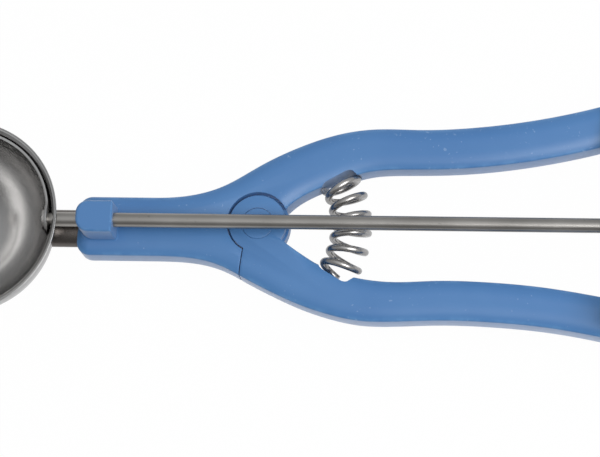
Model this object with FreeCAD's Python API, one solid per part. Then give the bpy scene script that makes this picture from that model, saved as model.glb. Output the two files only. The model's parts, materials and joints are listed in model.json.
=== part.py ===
import FreeCAD, Part
import math
import os

# Lever ice cream scoop with moulded plier handles and a geared scraper.
# Millimetres. +X runs from the bowl to the handle ends, +Y towards the fixed handle, and +Z the
# way the bowl opens. The origin is on the flat back of the shank, under the front shaft boss.

# Plan of the tool
PIVOT_X = 46.5
PIVOT_Y = 1.0
BOWL_X = -40.5
GEAR_X = 155.0
SHAFT_END_X = 163.5

# Heights above the back face
THICK = 10.0
MID_Z = THICK / 2
WALL_HEIGHT = 7.0
SHAFT_Z = 15.5
RIM_ABOVE_SHAFT = 2.6

# Bowl and stem
BOWL_R = 27.2
SHEET = 0.7
LIP_FLARE = 1.1
STEM_WIDTH = 11.2
STEM_DEPTH = 7.6
TANG_LENGTH = 34.0
FAR_PIN_R = 1.6

# Moulded handles
SHANK_HALF = 8.85
SHANK_END_X = -7.0
SHANK_CORNER = 4.0
HANDLE_WIDTH = 12.0
CROWN_INSET = 4.5
TAIL_X = 165.0
UPPER_TAIL_Y = 37.3
UPPER_TAIL_ANGLE = 16.0
LOWER_TAIL_Y = -28.9
LOWER_TAIL_ANGLE = -12.5

# Front bearing boss on the shank
BOSS_FRONT_X = -5.75
BOSS_REAR_X = 5.6
BOSS_TOP_Y = 5.0
BOSS_BOTTOM_Y = -4.5
BOSS_ABOVE_SHAFT = 4.0

# Pivot: the recess is set a little above the disc that turns in it
RECESS_R = 9.1
RECESS_OFFSET_Y = 0.33
DISC_R = 8.35
WEB_THICK = 3.6
WEB_GAP = 0.2
SLOT_R = 9.75
STOP_GAP = 0.35
PIVOT_PIN_R = 2.5
CAP_R = 4.65
CAP_THICK = 1.6

# Spring between the handles, coiled along an arc about the pivot
SPRING_ARC_R = 27.0
SPRING_COIL_R = 5.1
SPRING_WIRE_R = 1.05
SPRING_PITCH_DEG = 10.4
SPRING_FIRST_FRONT_DEG = 26.2
SPRING_TURNS = 5
SPRING_TOP_LEAD = 0.75
SPRING_BOTTOM_LEAD = 0.5
CLOSED_PITCH = 0.64
POCKET_R = 6.5
TOP_POCKET = (29.5, 1.8)
BOTTOM_POCKET = (-31.5, 1.2)

# Shaft, scraper and drive
SHAFT_R = 2.1
RUNNING_CLEARANCE = 0.08
BLADE_GAP = 0.3
BLADE_THICK = 0.8
BLADE_WIDTH = 7.0
BLADE_EYE_R = 4.8
BLADE_REST_DEG = -5.0
MODULE = 0.9
PINION_TEETH = 11
PINION_LENGTH = 7.0
PRESSURE_ANGLE = math.radians(20)
PINION_ADDENDUM = 0.75
RACK_ADDENDUM = 0.56
TOOTH_CLEARANCE = 0.25
BACKLASH = 0.12
RACK_THICK = 3.6
RACK_BACK = 4.0
RACK_FIRST_TOOTH = -8
RACK_LAST_TOOTH = 1
RACK_END_DEG = 2.2
RACK_FOOT_DEG = (-16.6, -13.3)

# Riveted feet on raised pads
PAD_RISE = 0.5
FOOT_THICK = 1.8
FOOT_WIDTH = 8.4
RIVET_R = 1.5
RIVET_HEAD_R = 2.6

RIVET_X = BOWL_X + BOWL_R - BLADE_GAP - BLADE_THICK - 0.25
EDGE_Z = MID_Z + WALL_HEIGHT / 2
CROWN = THICK - EDGE_Z
WEB_LOW = MID_Z - WEB_THICK / 2
WEB_HIGH = MID_Z + WEB_THICK / 2
PINION_R = MODULE * PINION_TEETH / 2
RACK_R = GEAR_X - PIVOT_X
RACK_PITCH_Z = SHAFT_Z + PINION_R
MESH_DEG = -math.degrees(math.asin(PIVOT_Y / RACK_R))
PAD_Z = THICK + PAD_RISE

UP = FreeCAD.Vector(0, 0, 1)
ALONG = FreeCAD.Vector(1, 0, 0)
PIVOT = FreeCAD.Vector(PIVOT_X, PIVOT_Y, 0)


def vec(x, y, z=0.0):
    return FreeCAD.Vector(x, y, z)


def polar(radius, angle_deg, z=0.0):
    """A point at a radius and angle about the pivot."""
    angle = math.radians(angle_deg)
    return PIVOT + vec(radius * math.cos(angle), radius * math.sin(angle), z)


def heading(angle_deg):
    angle = math.radians(angle_deg)
    return vec(math.cos(angle), math.sin(angle))


def spline(points, start, end):
    """A smooth edge through a few points, leaving and arriving in the given directions."""
    curve = Part.BSplineCurve()
    curve.interpolate(Points=points, InitialTangent=start, FinalTangent=end)
    return curve.toShape()


def line(a, b):
    return Part.LineSegment(a, b).toShape()


def arc(a, through, b):
    return Part.Arc(a, through, b).toShape()


def plate(edges, low, high):
    """A flat solid with the outline of a closed ring of edges."""
    face = Part.Face(Part.Wire(edges))
    face.translate(vec(0, 0, low))
    return face.extrude(vec(0, 0, high - low))


def tube_along_x(x0, x1, radius, y=0.0, z=SHAFT_Z):
    return Part.makeCylinder(radius, x1 - x0, vec(x0, y, z), ALONG)


def disc_about_pivot(radius, low, high):
    return Part.makeCylinder(radius, high - low, PIVOT + vec(0, 0, low))


def recess_disc(low, high):
    """The round seat in the shank, which is a little eccentric to the disc."""
    return Part.makeCylinder(RECESS_R, high - low, PIVOT + vec(0, RECESS_OFFSET_Y, low))


# Handle outlines

class Tail:
    """The round end of a handle: its centre, its direction and its two edge points."""

    def __init__(self, y, angle_deg):
        half = HANDLE_WIDTH / 2
        self.centre = vec(TAIL_X, y)
        self.heading = heading(angle_deg)
        self.side = vec(-self.heading.y, self.heading.x)
        self.upper = self.centre + self.side * half
        self.lower = self.centre - self.side * half
        self.tip = self.centre + self.heading * half


UPPER_TAIL = Tail(UPPER_TAIL_Y, UPPER_TAIL_ANGLE)
LOWER_TAIL = Tail(LOWER_TAIL_Y, LOWER_TAIL_ANGLE)
SHANK_TOP = vec(16, SHANK_HALF)
SHANK_BOTTOM = vec(15, -SHANK_HALF)
UPPER_CROTCH = vec(54.9, 6.2)
LOWER_CROTCH = vec(54.1, -4.1)
STOP_TOP = polar(RECESS_R, 242.5) + vec(0, RECESS_OFFSET_Y)
STOP_BOTTOM = vec(41.4, -14.2)


def upper_outer_edge():
    points = [SHANK_TOP, vec(35.5, 12.5), vec(46.2, 18.8), vec(57.8, 24.7), vec(69, 28.65),
              vec(79, 30.3), vec(93, 30.3), vec(108, 31.0), vec(125, 33.2), vec(143, 37.1),
              UPPER_TAIL.upper]
    return spline(points, ALONG, UPPER_TAIL.heading)


def upper_inner_edge():
    points = [UPPER_TAIL.lower, vec(145, 25.2), vec(130, 21.8), vec(116, 19.6), vec(102, 18.4),
              vec(88, 18.1), vec(79, 17.4), vec(70, 14.6), vec(61.5, 11.0), UPPER_CROTCH]
    return spline(points, -UPPER_TAIL.heading, vec(-3, -3.3))


def lower_outer_stub():
    """The part of the lower outline that the shank carries, up to the stop face."""
    return spline([SHANK_BOTTOM, vec(34.5, -11.0), STOP_BOTTOM], ALONG, vec(9, -5))


def lower_outer_edge():
    points = [STOP_BOTTOM, vec(50, -18.6), vec(59, -22.6), vec(67.9, -25.5), vec(77, -27.25),
              vec(86, -27.4), vec(100, -26.8), vec(115, -27.1), vec(130, -28.3),
              vec(146, -30.9), LOWER_TAIL.lower]
    return spline(points, vec(9, -5), LOWER_TAIL.heading)


def lower_inner_edge():
    points = [LOWER_TAIL.upper, vec(146, -19.1), vec(130, -16.6), vec(112, -15.2), vec(98, -15.1),
              vec(87, -15.6), vec(78, -14.9), vec(70, -13.0), vec(61.5, -9.0), LOWER_CROTCH]
    return spline(points, -LOWER_TAIL.heading, vec(-4.5, 3.6))


def faded_inner_edge():
    """The path of the lower inner crown, which leaves the plastic before it reaches the disc."""
    points = [LOWER_TAIL.upper, vec(146, -19.1), vec(130, -16.6), vec(112, -15.2), vec(98, -15.1),
              vec(87, -15.6), vec(78, -14.9), vec(70, -13.0), vec(62.9, -8.2), vec(57.0, -0.5)]
    return spline(points, -LOWER_TAIL.heading, vec(-0.55, 0.83))


def fixed_tail_edges():
    return [upper_outer_edge(), arc(UPPER_TAIL.upper, UPPER_TAIL.tip, UPPER_TAIL.lower),
            upper_inner_edge()]


def moving_tail_edges():
    return [lower_outer_edge(), arc(LOWER_TAIL.lower, LOWER_TAIL.tip, LOWER_TAIL.upper),
            lower_inner_edge()]


# The crown: the handles' faces fall off in a shallow arc to flat side walls

def crown_profile(start, direction, side):
    """The section of the tool that rounds a face off, standing on the start of an edge.

    side is +1 where the plastic lies to the left of the direction of travel.
    """
    direction.normalize()
    inward = vec(-direction.y, direction.x) * side
    radius = (CROWN_INSET ** 2 + CROWN ** 2) / (2 * CROWN)
    centre_z = THICK - radius
    reach = 1.0
    above = THICK + 3.0

    def on_arc(inset):
        height = centre_z + math.sqrt(radius ** 2 - (CROWN_INSET - inset) ** 2)
        return start + inward * inset + vec(0, 0, height)

    outer, middle, inner = on_arc(-reach), on_arc(CROWN_INSET / 2), on_arc(CROWN_INSET)
    top_inner = vec(inner.x, inner.y, above)
    top_outer = vec(outer.x, outer.y, above)
    return Part.Wire([arc(outer, middle, inner), line(inner, top_inner),
                      line(top_inner, top_outer), line(top_outer, outer)])


def crown_cutters(edges, side):
    """Cutting solids for the front and the back along a chain of edges."""
    spine = Part.Wire(edges)
    first = edges[0]
    start = first.valueAt(first.FirstParameter)
    direction = first.tangentAt(first.FirstParameter)
    sweep = Part.BRepOffsetAPI.MakePipeShell(spine)
    sweep.setBiNormalMode(UP)
    sweep.add(crown_profile(start, direction, side), False, False)
    sweep.build()
    sweep.makeSolid()
    front = sweep.shape()
    back = front.mirror(vec(0, 0, MID_Z), UP)
    return [front, back]


def crotch_run_out():
    """Takes the crown of the upper inner edge straight on into the recess."""
    return line(UPPER_CROTCH, UPPER_CROTCH + vec(-3.0, -3.3))


def crown_ends_cutters():
    """The shank's front end is rounded off in the same way."""
    run = SHANK_HALF + 6
    edge = line(vec(SHANK_END_X, run), vec(SHANK_END_X, -run))
    return crown_cutters([edge], 1)


def pad(centre_x, centre_y, angle_deg):
    """A raised seat with round corners for a riveted foot."""
    length, width, corner = 17.0, FOOT_WIDTH + 1.0, 1.6
    block = Part.makeBox(length, width, PAD_Z - MID_Z, vec(-length / 2, -width / 2, MID_Z))
    upright = [e for e in block.Edges if abs(e.tangentAt(e.FirstParameter).z) > 0.9]
    block = block.makeFillet(corner, upright)
    block.rotate(vec(0, 0, 0), UP, angle_deg)
    block.translate(vec(centre_x, centre_y))
    return block


# Feet of the bearing bracket and of the rack: centre, direction and rivet places along it
BRACKET_FOOT = (154.8, 33.9, 14.5)
RACK_FOOT = (156.2, -27.2, -10.8)
BRACKET_RIVETS = (-0.6, 5.2)
RACK_RIVETS = (0.4, 5.6)


def foot_point(foot, along):
    return vec(foot[0], foot[1]) + heading(foot[2]) * along


def rivet(foot, along):
    """A rivet through a foot and its handle, with a head on the foot and one sunk at the back."""
    point = foot_point(foot, along)
    top = PAD_Z + FOOT_THICK
    shank = Part.makeCylinder(RIVET_R, top - 0.3, point + vec(0, 0, 0.3))
    head = Part.makeSphere(3.4, point + vec(0, 0, top - 2.2))
    head = head.common(Part.makeCylinder(RIVET_HEAD_R, 3, point + vec(0, 0, top)))
    back = Part.makeCylinder(RIVET_HEAD_R, 0.9, point + vec(0, 0, 0.3))
    return shank.fuse([head, back]).removeSplitter()


def rivet_clearance(foot, along):
    point = foot_point(foot, along)
    hole = Part.makeCylinder(RIVET_R, PAD_Z + FOOT_THICK + 1, point + vec(0, 0, -0.5))
    sink = Part.makeCylinder(RIVET_HEAD_R + 0.1, 1.7, point + vec(0, 0, -0.5))
    return hole.fuse(sink)


def rivet_pair(foot, places):
    return Part.makeCompound([rivet(foot, along) for along in places])


# Bowl and stem

def bowl_filling(radius, top):
    """A solid of revolution: a ball about the shaft's axis whose upper edge flares into a lip."""
    foot = math.radians(4)
    start = vec(radius * math.cos(foot), 0, -radius * math.sin(foot))
    rim = vec(radius + LIP_FLARE, 0, RIM_ABOVE_SHAFT)
    low = vec(0, 0, -radius)
    middle = vec(radius * math.cos(math.pi / 4), 0, -radius * math.sin(math.pi / 4))
    lip = spline([start, rim], vec(math.sin(foot), 0, math.cos(foot)), vec(0.45, 0, 0.9))
    edges = [arc(low, middle, start), lip, line(rim, vec(rim.x, 0, top)),
             line(vec(rim.x, 0, top), vec(0, 0, top)), line(vec(0, 0, top), low)]
    solid = Part.Face(Part.Wire(edges)).revolve(vec(0, 0, 0), UP, 360)
    solid.translate(vec(BOWL_X, 0, SHAFT_Z))
    return solid


def bowl_outside():
    return bowl_filling(BOWL_R + SHEET, RIM_ABOVE_SHAFT + 0.01)


def make_bowl():
    """A deep spherical bowl about the shaft's axis, with a flared lip."""
    top = Part.makeBox(90, 90, 20, vec(BOWL_X - 45, -45, SHAFT_Z + RIM_ABOVE_SHAFT))
    bowl = bowl_outside().cut(top).cut(bowl_filling(BOWL_R, RIM_ABOVE_SHAFT + 5))
    shaft_hole = tube_along_x(BOWL_X + 20, BOWL_X + 40, SHAFT_R + RUNNING_CLEARANCE)
    rivet_hole = tube_along_x(BOWL_X - 40, BOWL_X - 20, FAR_PIN_R)
    return bowl.cut(shaft_hole).cut(rivet_hole)


def oval(x, width, depth, z=MID_Z):
    ellipse = Part.Ellipse(vec(x, width / 2, z), vec(x, 0, z + depth / 2), vec(x, 0, z))
    return Part.Wire(ellipse.toShape())


def make_stem():
    """An oval neck welded to the bowl, with a flat tang that is moulded into the shank."""
    neck = Part.Face(oval(-22, STEM_WIDTH, STEM_DEPTH)).extrude(vec(20, 0, 0))
    neck = neck.cut(Part.makeSphere(BOWL_R + SHEET, vec(BOWL_X, 0, SHAFT_Z)))
    tang = Part.makeBox(TANG_LENGTH, 9.0, 3.4, vec(-3, -4.5, MID_Z - 1.7))
    upright = [e for e in tang.Edges if abs(e.tangentAt(e.FirstParameter).z) > 0.9]
    tang = tang.makeFillet(1.5, upright)
    for x in (11, 23):
        tang = tang.cut(Part.makeCylinder(1.8, THICK, vec(x, 0, 0)))
    return neck.fuse(tang).removeSplitter()


def make_far_rivet():
    """The headed pin opposite the stem, on which the scraper's free end turns."""
    wall = BOWL_X - BOWL_R - SHEET
    head = Part.makeSphere(3.6, vec(wall + 1.6, 0, SHAFT_Z))
    head = head.common(tube_along_x(wall - 2.0, wall + 0.3, 2.5)).cut(bowl_outside())
    shank = tube_along_x(wall - 0.4, wall + 3.0, FAR_PIN_R)
    inner_head = tube_along_x(wall + 2.1, wall + 3.0, 2.6)
    return head.fuse([shank, inner_head]).removeSplitter()


# Moulded handles

def pocket(angle_deg, depth, direction):
    """A round seat in a handle's inner wall for the end of the spring, with a rounded floor."""
    tangent = heading(angle_deg + 90) * direction
    base = polar(SPRING_ARC_R, angle_deg, MID_Z) - tangent * 6
    seat = Part.makeCylinder(POCKET_R, 6 + depth, base, tangent)
    floor = max(seat.Edges, key=lambda e: (e.CenterOfMass - base).dot(tangent))
    return seat.makeFillet(1.2, [floor])


def boss_block():
    """The raised block on the shank that the shaft turns in."""
    length = BOSS_REAR_X - BOSS_FRONT_X
    width = BOSS_TOP_Y - BOSS_BOTTOM_Y
    height = SHAFT_Z + BOSS_ABOVE_SHAFT - MID_Z
    block = Part.makeBox(length, width, height, vec(BOSS_FRONT_X, BOSS_BOTTOM_Y, MID_Z))
    front = [e for e in block.Edges if abs(e.tangentAt(e.FirstParameter).z) > 0.9
             and e.CenterOfMass.x < 0]
    block = block.makeFillet(4.0, front)
    top = [e for e in block.Edges if e.BoundBox.ZMin > MID_Z + height - 0.01]
    return block.makeFillet(1.1, top)


def make_fixed_handle():
    """The shank with its boss and the upper grip, moulded as one piece."""
    corner = SHANK_CORNER
    mid = corner * (1 - math.sqrt(0.5))
    inner_y = SHANK_HALF - corner
    rear_x = SHANK_END_X + corner
    edges = fixed_tail_edges()
    edges += [line(UPPER_CROTCH, PIVOT), line(PIVOT, STOP_TOP), line(STOP_TOP, STOP_BOTTOM)]
    edges += [lower_outer_stub(), line(SHANK_BOTTOM, vec(rear_x, -SHANK_HALF))]
    edges += [arc(vec(rear_x, -SHANK_HALF), vec(SHANK_END_X + mid, -SHANK_HALF + mid),
                  vec(SHANK_END_X, -inner_y))]
    edges += [line(vec(SHANK_END_X, -inner_y), vec(SHANK_END_X, inner_y))]
    edges += [arc(vec(SHANK_END_X, inner_y), vec(SHANK_END_X + mid, SHANK_HALF - mid),
                  vec(rear_x, SHANK_HALF))]
    edges += [line(vec(rear_x, SHANK_HALF), SHANK_TOP)]
    body = plate(Part.__sortEdges__(edges), 0, THICK)
    run_in = line(vec(SHANK_END_X - 8, SHANK_HALF), SHANK_TOP)
    run_out = line(vec(SHANK_END_X - 8, -SHANK_HALF), SHANK_BOTTOM)
    beyond = line(STOP_BOTTOM, STOP_BOTTOM + vec(9, -5))
    for cutter in crown_cutters([run_in] + fixed_tail_edges() + [crotch_run_out()], -1):
        body = body.cut(cutter)
    for cutter in crown_cutters([run_out, lower_outer_stub(), beyond], 1):
        body = body.cut(cutter)
    for cutter in crown_ends_cutters():
        body = body.cut(cutter)
    body = body.cut(recess_disc(-1, THICK + 1))
    body = body.fuse([recess_disc(WEB_LOW, WEB_HIGH), boss_block()])
    body = body.fuse(pad(*BRACKET_FOOT))
    body = body.cut(disc_about_pivot(PIVOT_PIN_R + RUNNING_CLEARANCE, -1, THICK + 1))
    body = body.cut(tube_along_x(SHANK_END_X - 5, BOSS_REAR_X + 5, SHAFT_R + RUNNING_CLEARANCE))
    body = body.cut(make_stem())
    body = body.cut(pocket(*TOP_POCKET, 1))
    for along in BRACKET_RIVETS:
        body = body.cut(rivet_clearance(BRACKET_FOOT, along))
    return body.removeSplitter()


def make_moving_handle():
    """The lower grip, whose forked end holds the fixed handle's web between two discs."""
    stop_top = STOP_TOP + vec(STOP_GAP, 0.3)
    shift = vec(STOP_GAP, -STOP_GAP * 0.55)
    edges = moving_tail_edges()
    edges += [line(LOWER_CROTCH, PIVOT), line(PIVOT, STOP_TOP), line(STOP_TOP, STOP_BOTTOM)]
    body = plate(Part.__sortEdges__(edges), 0, THICK)
    lead = line(STOP_BOTTOM - vec(9, -5), STOP_BOTTOM)
    outline = moving_tail_edges()
    for cutter in crown_cutters([lead] + outline[:2] + [faded_inner_edge()], 1):
        body = body.cut(cutter)
    gap = plate([line(STOP_TOP + vec(0, 1), stop_top + vec(0, 1)),
                 line(stop_top + vec(0, 1), STOP_BOTTOM + shift),
                 line(STOP_BOTTOM + shift, STOP_BOTTOM + shift - vec(2, 2)),
                 line(STOP_BOTTOM + shift - vec(2, 2), STOP_BOTTOM - vec(2, 0)),
                 line(STOP_BOTTOM - vec(2, 0), STOP_TOP + vec(-1, 0)),
                 line(STOP_TOP + vec(-1, 0), STOP_TOP + vec(0, 1))], -1, THICK + 1)
    body = body.cut(gap)
    body = body.fuse([disc_about_pivot(DISC_R, 0, THICK), pad(*RACK_FOOT)])
    body = body.cut(disc_about_pivot(SLOT_R, WEB_LOW - WEB_GAP, WEB_HIGH + WEB_GAP))
    body = body.cut(disc_about_pivot(PIVOT_PIN_R, -1, THICK + 1))
    body = body.cut(disc_about_pivot(CAP_R, -1, CAP_THICK))
    body = body.cut(disc_about_pivot(CAP_R, THICK - CAP_THICK, THICK + 1))
    body = body.cut(pocket(*BOTTOM_POCKET, -1))
    for along in RACK_RIVETS:
        body = body.cut(rivet_clearance(RACK_FOOT, along))
    return body.removeSplitter()


def make_pivot_pin():
    return disc_about_pivot(PIVOT_PIN_R, CAP_THICK, THICK - CAP_THICK)


def make_cap(front):
    low = THICK - CAP_THICK if front else 0.0
    cap = disc_about_pivot(CAP_R, low, low + CAP_THICK)
    outer_z = THICK if front else 0.0
    rim = [e for e in cap.Edges if abs(e.BoundBox.ZMin - outer_z) < 0.01
           and abs(e.BoundBox.ZMax - outer_z) < 0.01 and e.Length > 5]
    return cap.makeFillet(0.25, rim)


# Spring

def spring_point(turns):
    """A point of the wire, counted in turns down from the first visible front crossing."""
    closed = min(turns, 0.0) * CLOSED_PITCH
    angle = SPRING_FIRST_FRONT_DEG - SPRING_PITCH_DEG * (max(turns, 0.0) + closed)
    ring = math.radians(90 + 360 * turns)
    return polar(SPRING_ARC_R + SPRING_COIL_R * math.cos(ring), angle,
                 MID_Z + SPRING_COIL_R * math.sin(ring))


def make_spring():
    """A compression spring bent round the pivot, with its ends in the two pockets."""
    per_turn = 12
    first, last = -SPRING_TOP_LEAD, SPRING_TURNS + SPRING_BOTTOM_LEAD
    count = int(round((last - first) * per_turn))
    points = [spring_point(first + (last - first) * i / count) for i in range(count + 1)]
    curve = Part.BSplineCurve()
    curve.interpolate(points)
    path = Part.Wire(curve.toShape())
    section = Part.Wire(Part.Circle(points[0], curve.tangent(0)[0], SPRING_WIRE_R).toShape())
    return path.makePipeShell([section], True, True)


# Scraper and its drive

def make_shaft():
    shaft = tube_along_x(RIVET_X - 1.3, SHAFT_END_X, SHAFT_R)
    end = [e for e in shaft.Edges if e.BoundBox.XMin > SHAFT_END_X - 0.01]
    shaft = shaft.makeChamfer(0.5, end)
    return shaft.cut(pinion_pin_solid())


def make_blade():
    """A sprung band that follows the inside of the bowl, with an eye at each end."""
    centre = vec(BOWL_X, 0, SHAFT_Z)
    outer_r = BOWL_R - BLADE_GAP
    shell = Part.makeSphere(outer_r, centre).cut(Part.makeSphere(outer_r - BLADE_THICK, centre))
    band = Part.makeBox(70, 35, BLADE_WIDTH, vec(BOWL_X - 35, 0, SHAFT_Z - BLADE_WIDTH / 2))
    eyes = tube_along_x(BOWL_X - 35, BOWL_X + 35, BLADE_EYE_R)
    blade = shell.common(band.fuse(eyes).removeSplitter())
    blade = blade.cut(tube_along_x(BOWL_X, BOWL_X + 40, SHAFT_R))
    blade = blade.cut(tube_along_x(BOWL_X - 40, BOWL_X, FAR_PIN_R + RUNNING_CLEARANCE))
    blade.rotate(centre, ALONG, BLADE_REST_DEG)
    return blade


def make_blade_rivet():
    """The head that holds the scraper on the end of the shaft."""
    ring = tube_along_x(RIVET_X - 1.0, RIVET_X, 3.4)
    return ring.cut(tube_along_x(RIVET_X - 2.0, RIVET_X + 1.0, SHAFT_R))


def involute(base_r, radius, start_angle, side):
    """A point of a tooth flank at a radius, as a Y, Z pair about the shaft."""
    unroll = math.sqrt(max((radius / base_r) ** 2 - 1, 0.0))
    angle = start_angle - side * (unroll - math.atan(unroll))
    return radius * math.sin(angle), radius * math.cos(angle)


def pinion_outline(x):
    """The toothed outline, with one tooth pointing the way the bowl opens."""
    base_r = PINION_R * math.cos(PRESSURE_ANGLE)
    tip_r = PINION_R + PINION_ADDENDUM
    root_r = PINION_R - RACK_ADDENDUM - TOOTH_CLEARANCE
    inv = math.tan(PRESSURE_ANGLE) - PRESSURE_ANGLE
    half = (math.pi * MODULE / 2 - BACKLASH) / (2 * PINION_R) + inv
    step = 2 * math.pi / PINION_TEETH

    def at(y, z):
        return vec(x, y, SHAFT_Z + z)

    def on_circle(radius, angle):
        return at(radius * math.sin(angle), radius * math.cos(angle))

    edges = []
    for tooth in range(PINION_TEETH):
        centre = tooth * step
        radii = [base_r + (tip_r - base_r) * i / 3 for i in range(4)]
        left = [at(*involute(base_r, r, centre - half, -1)) for r in radii]
        right = [at(*involute(base_r, r, centre + half, 1)) for r in reversed(radii)]
        root_left = on_circle(root_r, centre - half)
        root_right = on_circle(root_r, centre + half)
        next_root = on_circle(root_r, centre + step - half)
        rise = Part.BSplineCurve()
        rise.interpolate(left)
        fall = Part.BSplineCurve()
        fall.interpolate(right)
        edges += [line(root_left, left[0]), rise.toShape(),
                  arc(left[-1], on_circle(tip_r, centre), right[0]), fall.toShape(),
                  line(right[-1], root_right),
                  arc(root_right, on_circle(root_r, centre + step / 2), next_root)]
    return Part.Wire(edges)


def pinion_pin_solid():
    x = GEAR_X + PINION_LENGTH / 2 + 1.8
    return Part.makeCylinder(0.8, 7.4, vec(x, -3.7, SHAFT_Z), vec(0, 1, 0))


def make_pinion():
    x0 = GEAR_X - PINION_LENGTH / 2
    gear = Part.Face(pinion_outline(x0)).extrude(vec(PINION_LENGTH, 0, 0))
    gear = gear.fuse(tube_along_x(x0 + PINION_LENGTH - 0.5, x0 + PINION_LENGTH + 3.6, 3.7))
    gear = gear.cut(tube_along_x(x0 - 1, x0 + PINION_LENGTH + 5, SHAFT_R))
    return gear.cut(pinion_pin_solid())


def rack_tooth(number):
    """One tooth pointing back at the pinion, counted from the one beside the mesh point."""
    half = (math.pi * MODULE / 2 - BACKLASH) / 2
    slope = math.tan(PRESSURE_ANGLE)
    tip_z = RACK_PITCH_Z - RACK_ADDENDUM
    base_z = RACK_PITCH_Z + PINION_ADDENDUM + TOOTH_CLEARANCE
    tip = half - slope * RACK_ADDENDUM
    base = half + slope * (base_z - RACK_PITCH_Z)
    x0 = PIVOT_X + RACK_R - RACK_THICK / 2
    corners = [(-base, base_z + 0.3), (-base, base_z), (-tip, tip_z), (tip, tip_z),
               (base, base_z), (base, base_z + 0.3)]
    points = [vec(x0, PIVOT_Y + y, z) for y, z in corners]
    tooth = Part.Face(Part.makePolygon(points + points[:1])).extrude(vec(RACK_THICK, 0, 0))
    pitch_deg = math.degrees(math.pi * MODULE / RACK_R)
    tooth.rotate(PIVOT, UP, MESH_DEG + (number + 0.5) * pitch_deg)
    return tooth


def ring_sector(low, high, start_deg, end_deg):
    """A curved bar about the pivot with the rack's thickness."""
    inner = RACK_R - RACK_THICK / 2
    outer = RACK_R + RACK_THICK / 2
    mid_deg = (start_deg + end_deg) / 2
    edges = [arc(polar(inner, start_deg), polar(inner, mid_deg), polar(inner, end_deg)),
             line(polar(inner, end_deg), polar(outer, end_deg)),
             arc(polar(outer, end_deg), polar(outer, mid_deg), polar(outer, start_deg)),
             line(polar(outer, start_deg), polar(inner, start_deg))]
    return plate(edges, low, high)


def foot_plate(foot):
    length, corner = 15.0, 1.4
    block = Part.makeBox(length, FOOT_WIDTH, FOOT_THICK, vec(-length / 2, -FOOT_WIDTH / 2, PAD_Z))
    upright = [e for e in block.Edges if abs(e.tangentAt(e.FirstParameter).z) > 0.9]
    block = block.makeFillet(corner, upright)
    block.rotate(vec(0, 0, 0), UP, foot[2])
    block.translate(vec(foot[0], foot[1]))
    return block


def make_rack():
    """The curved rack that passes in front of the pinion, on an upright and a riveted foot."""
    base_z = RACK_PITCH_Z + PINION_ADDENDUM + TOOTH_CLEARANCE
    rack = ring_sector(base_z, base_z + RACK_BACK, RACK_FOOT_DEG[0], RACK_END_DEG)
    upright = ring_sector(PAD_Z + FOOT_THICK / 2, base_z + RACK_BACK, *RACK_FOOT_DEG)
    teeth = [rack_tooth(n) for n in range(RACK_FIRST_TOOTH, RACK_LAST_TOOTH + 1)]
    rack = rack.fuse([upright, foot_plate(RACK_FOOT)] + teeth).removeSplitter()
    for along in RACK_RIVETS:
        rack = rack.cut(rivet_clearance(RACK_FOOT, along))
    return rack


BRACKET_X = 147.2
BRACKET_THICK = 2.4
BUSH_R = 3.2


def make_bracket():
    """The plate from the fixed handle that carries the shaft in front of the pinion."""
    eye_r = 4.8
    foot_y = BRACKET_FOOT[1] + 1.5
    points = [vec(BRACKET_X, 0, SHAFT_Z + eye_r), vec(BRACKET_X, 12, SHAFT_Z + 2.6),
              vec(BRACKET_X, foot_y, PAD_Z + FOOT_THICK), vec(BRACKET_X, foot_y, PAD_Z),
              vec(BRACKET_X, 3, PAD_Z + 0.4), vec(BRACKET_X, 0, SHAFT_Z - eye_r)]
    arm = Part.Face(Part.makePolygon(points + points[:1])).extrude(vec(BRACKET_THICK, 0, 0))
    eye = tube_along_x(BRACKET_X, BRACKET_X + BRACKET_THICK, eye_r)
    bracket = arm.fuse([eye, foot_plate(BRACKET_FOOT)]).removeSplitter()
    bracket = bracket.cut(tube_along_x(BRACKET_X - 2, BRACKET_X + 5, BUSH_R))
    for along in BRACKET_RIVETS:
        bracket = bracket.cut(rivet_clearance(BRACKET_FOOT, along))
    return bracket


def make_bush():
    sleeve = tube_along_x(BRACKET_X, BRACKET_X + BRACKET_THICK, BUSH_R)
    return sleeve.cut(tube_along_x(BRACKET_X - 2, BRACKET_X + 5, SHAFT_R + RUNNING_CLEARANCE))


def washer(x0, thick, radius):
    return tube_along_x(x0, x0 + thick, radius).cut(tube_along_x(x0 - 1, x0 + 3, SHAFT_R))


def make_clip():
    """An open clip in front of the bracket that keeps the shaft from sliding."""
    ring = washer(BRACKET_X - 1.05, 0.8, 4.0)
    mouth = Part.makeBox(2, 3.4, 6, vec(BRACKET_X - 2, -1.7, SHAFT_Z - 6.5))
    return ring.cut(mouth)


def make_thrust_washer():
    return washer(BRACKET_X + BRACKET_THICK + 0.3, 1.0, 3.9)


PIECES = {
    "bowl": make_bowl,
    "bowl_stem": make_stem,
    "far_pivot_rivet": make_far_rivet,
    "fixed_handle": make_fixed_handle,
    "moving_handle": make_moving_handle,
    "pivot_pin": make_pivot_pin,
    "front_pivot_cap": lambda: make_cap(True),
    "rear_pivot_cap": lambda: make_cap(False),
    "handle_spring": make_spring,
    "scraper_shaft": make_shaft,
    "scraper_blade": make_blade,
    "blade_rivet": make_blade_rivet,
    "pinion": make_pinion,
    "pinion_pin": pinion_pin_solid,
    "drive_rack": make_rack,
    "rack_rivets": lambda: rivet_pair(RACK_FOOT, RACK_RIVETS),
    "rear_bracket": make_bracket,
    "bracket_rivets": lambda: rivet_pair(BRACKET_FOOT, BRACKET_RIVETS),
    "rear_bush": make_bush,
    "thrust_washer": make_thrust_washer,
    "shaft_clip": make_clip,
}

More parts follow.
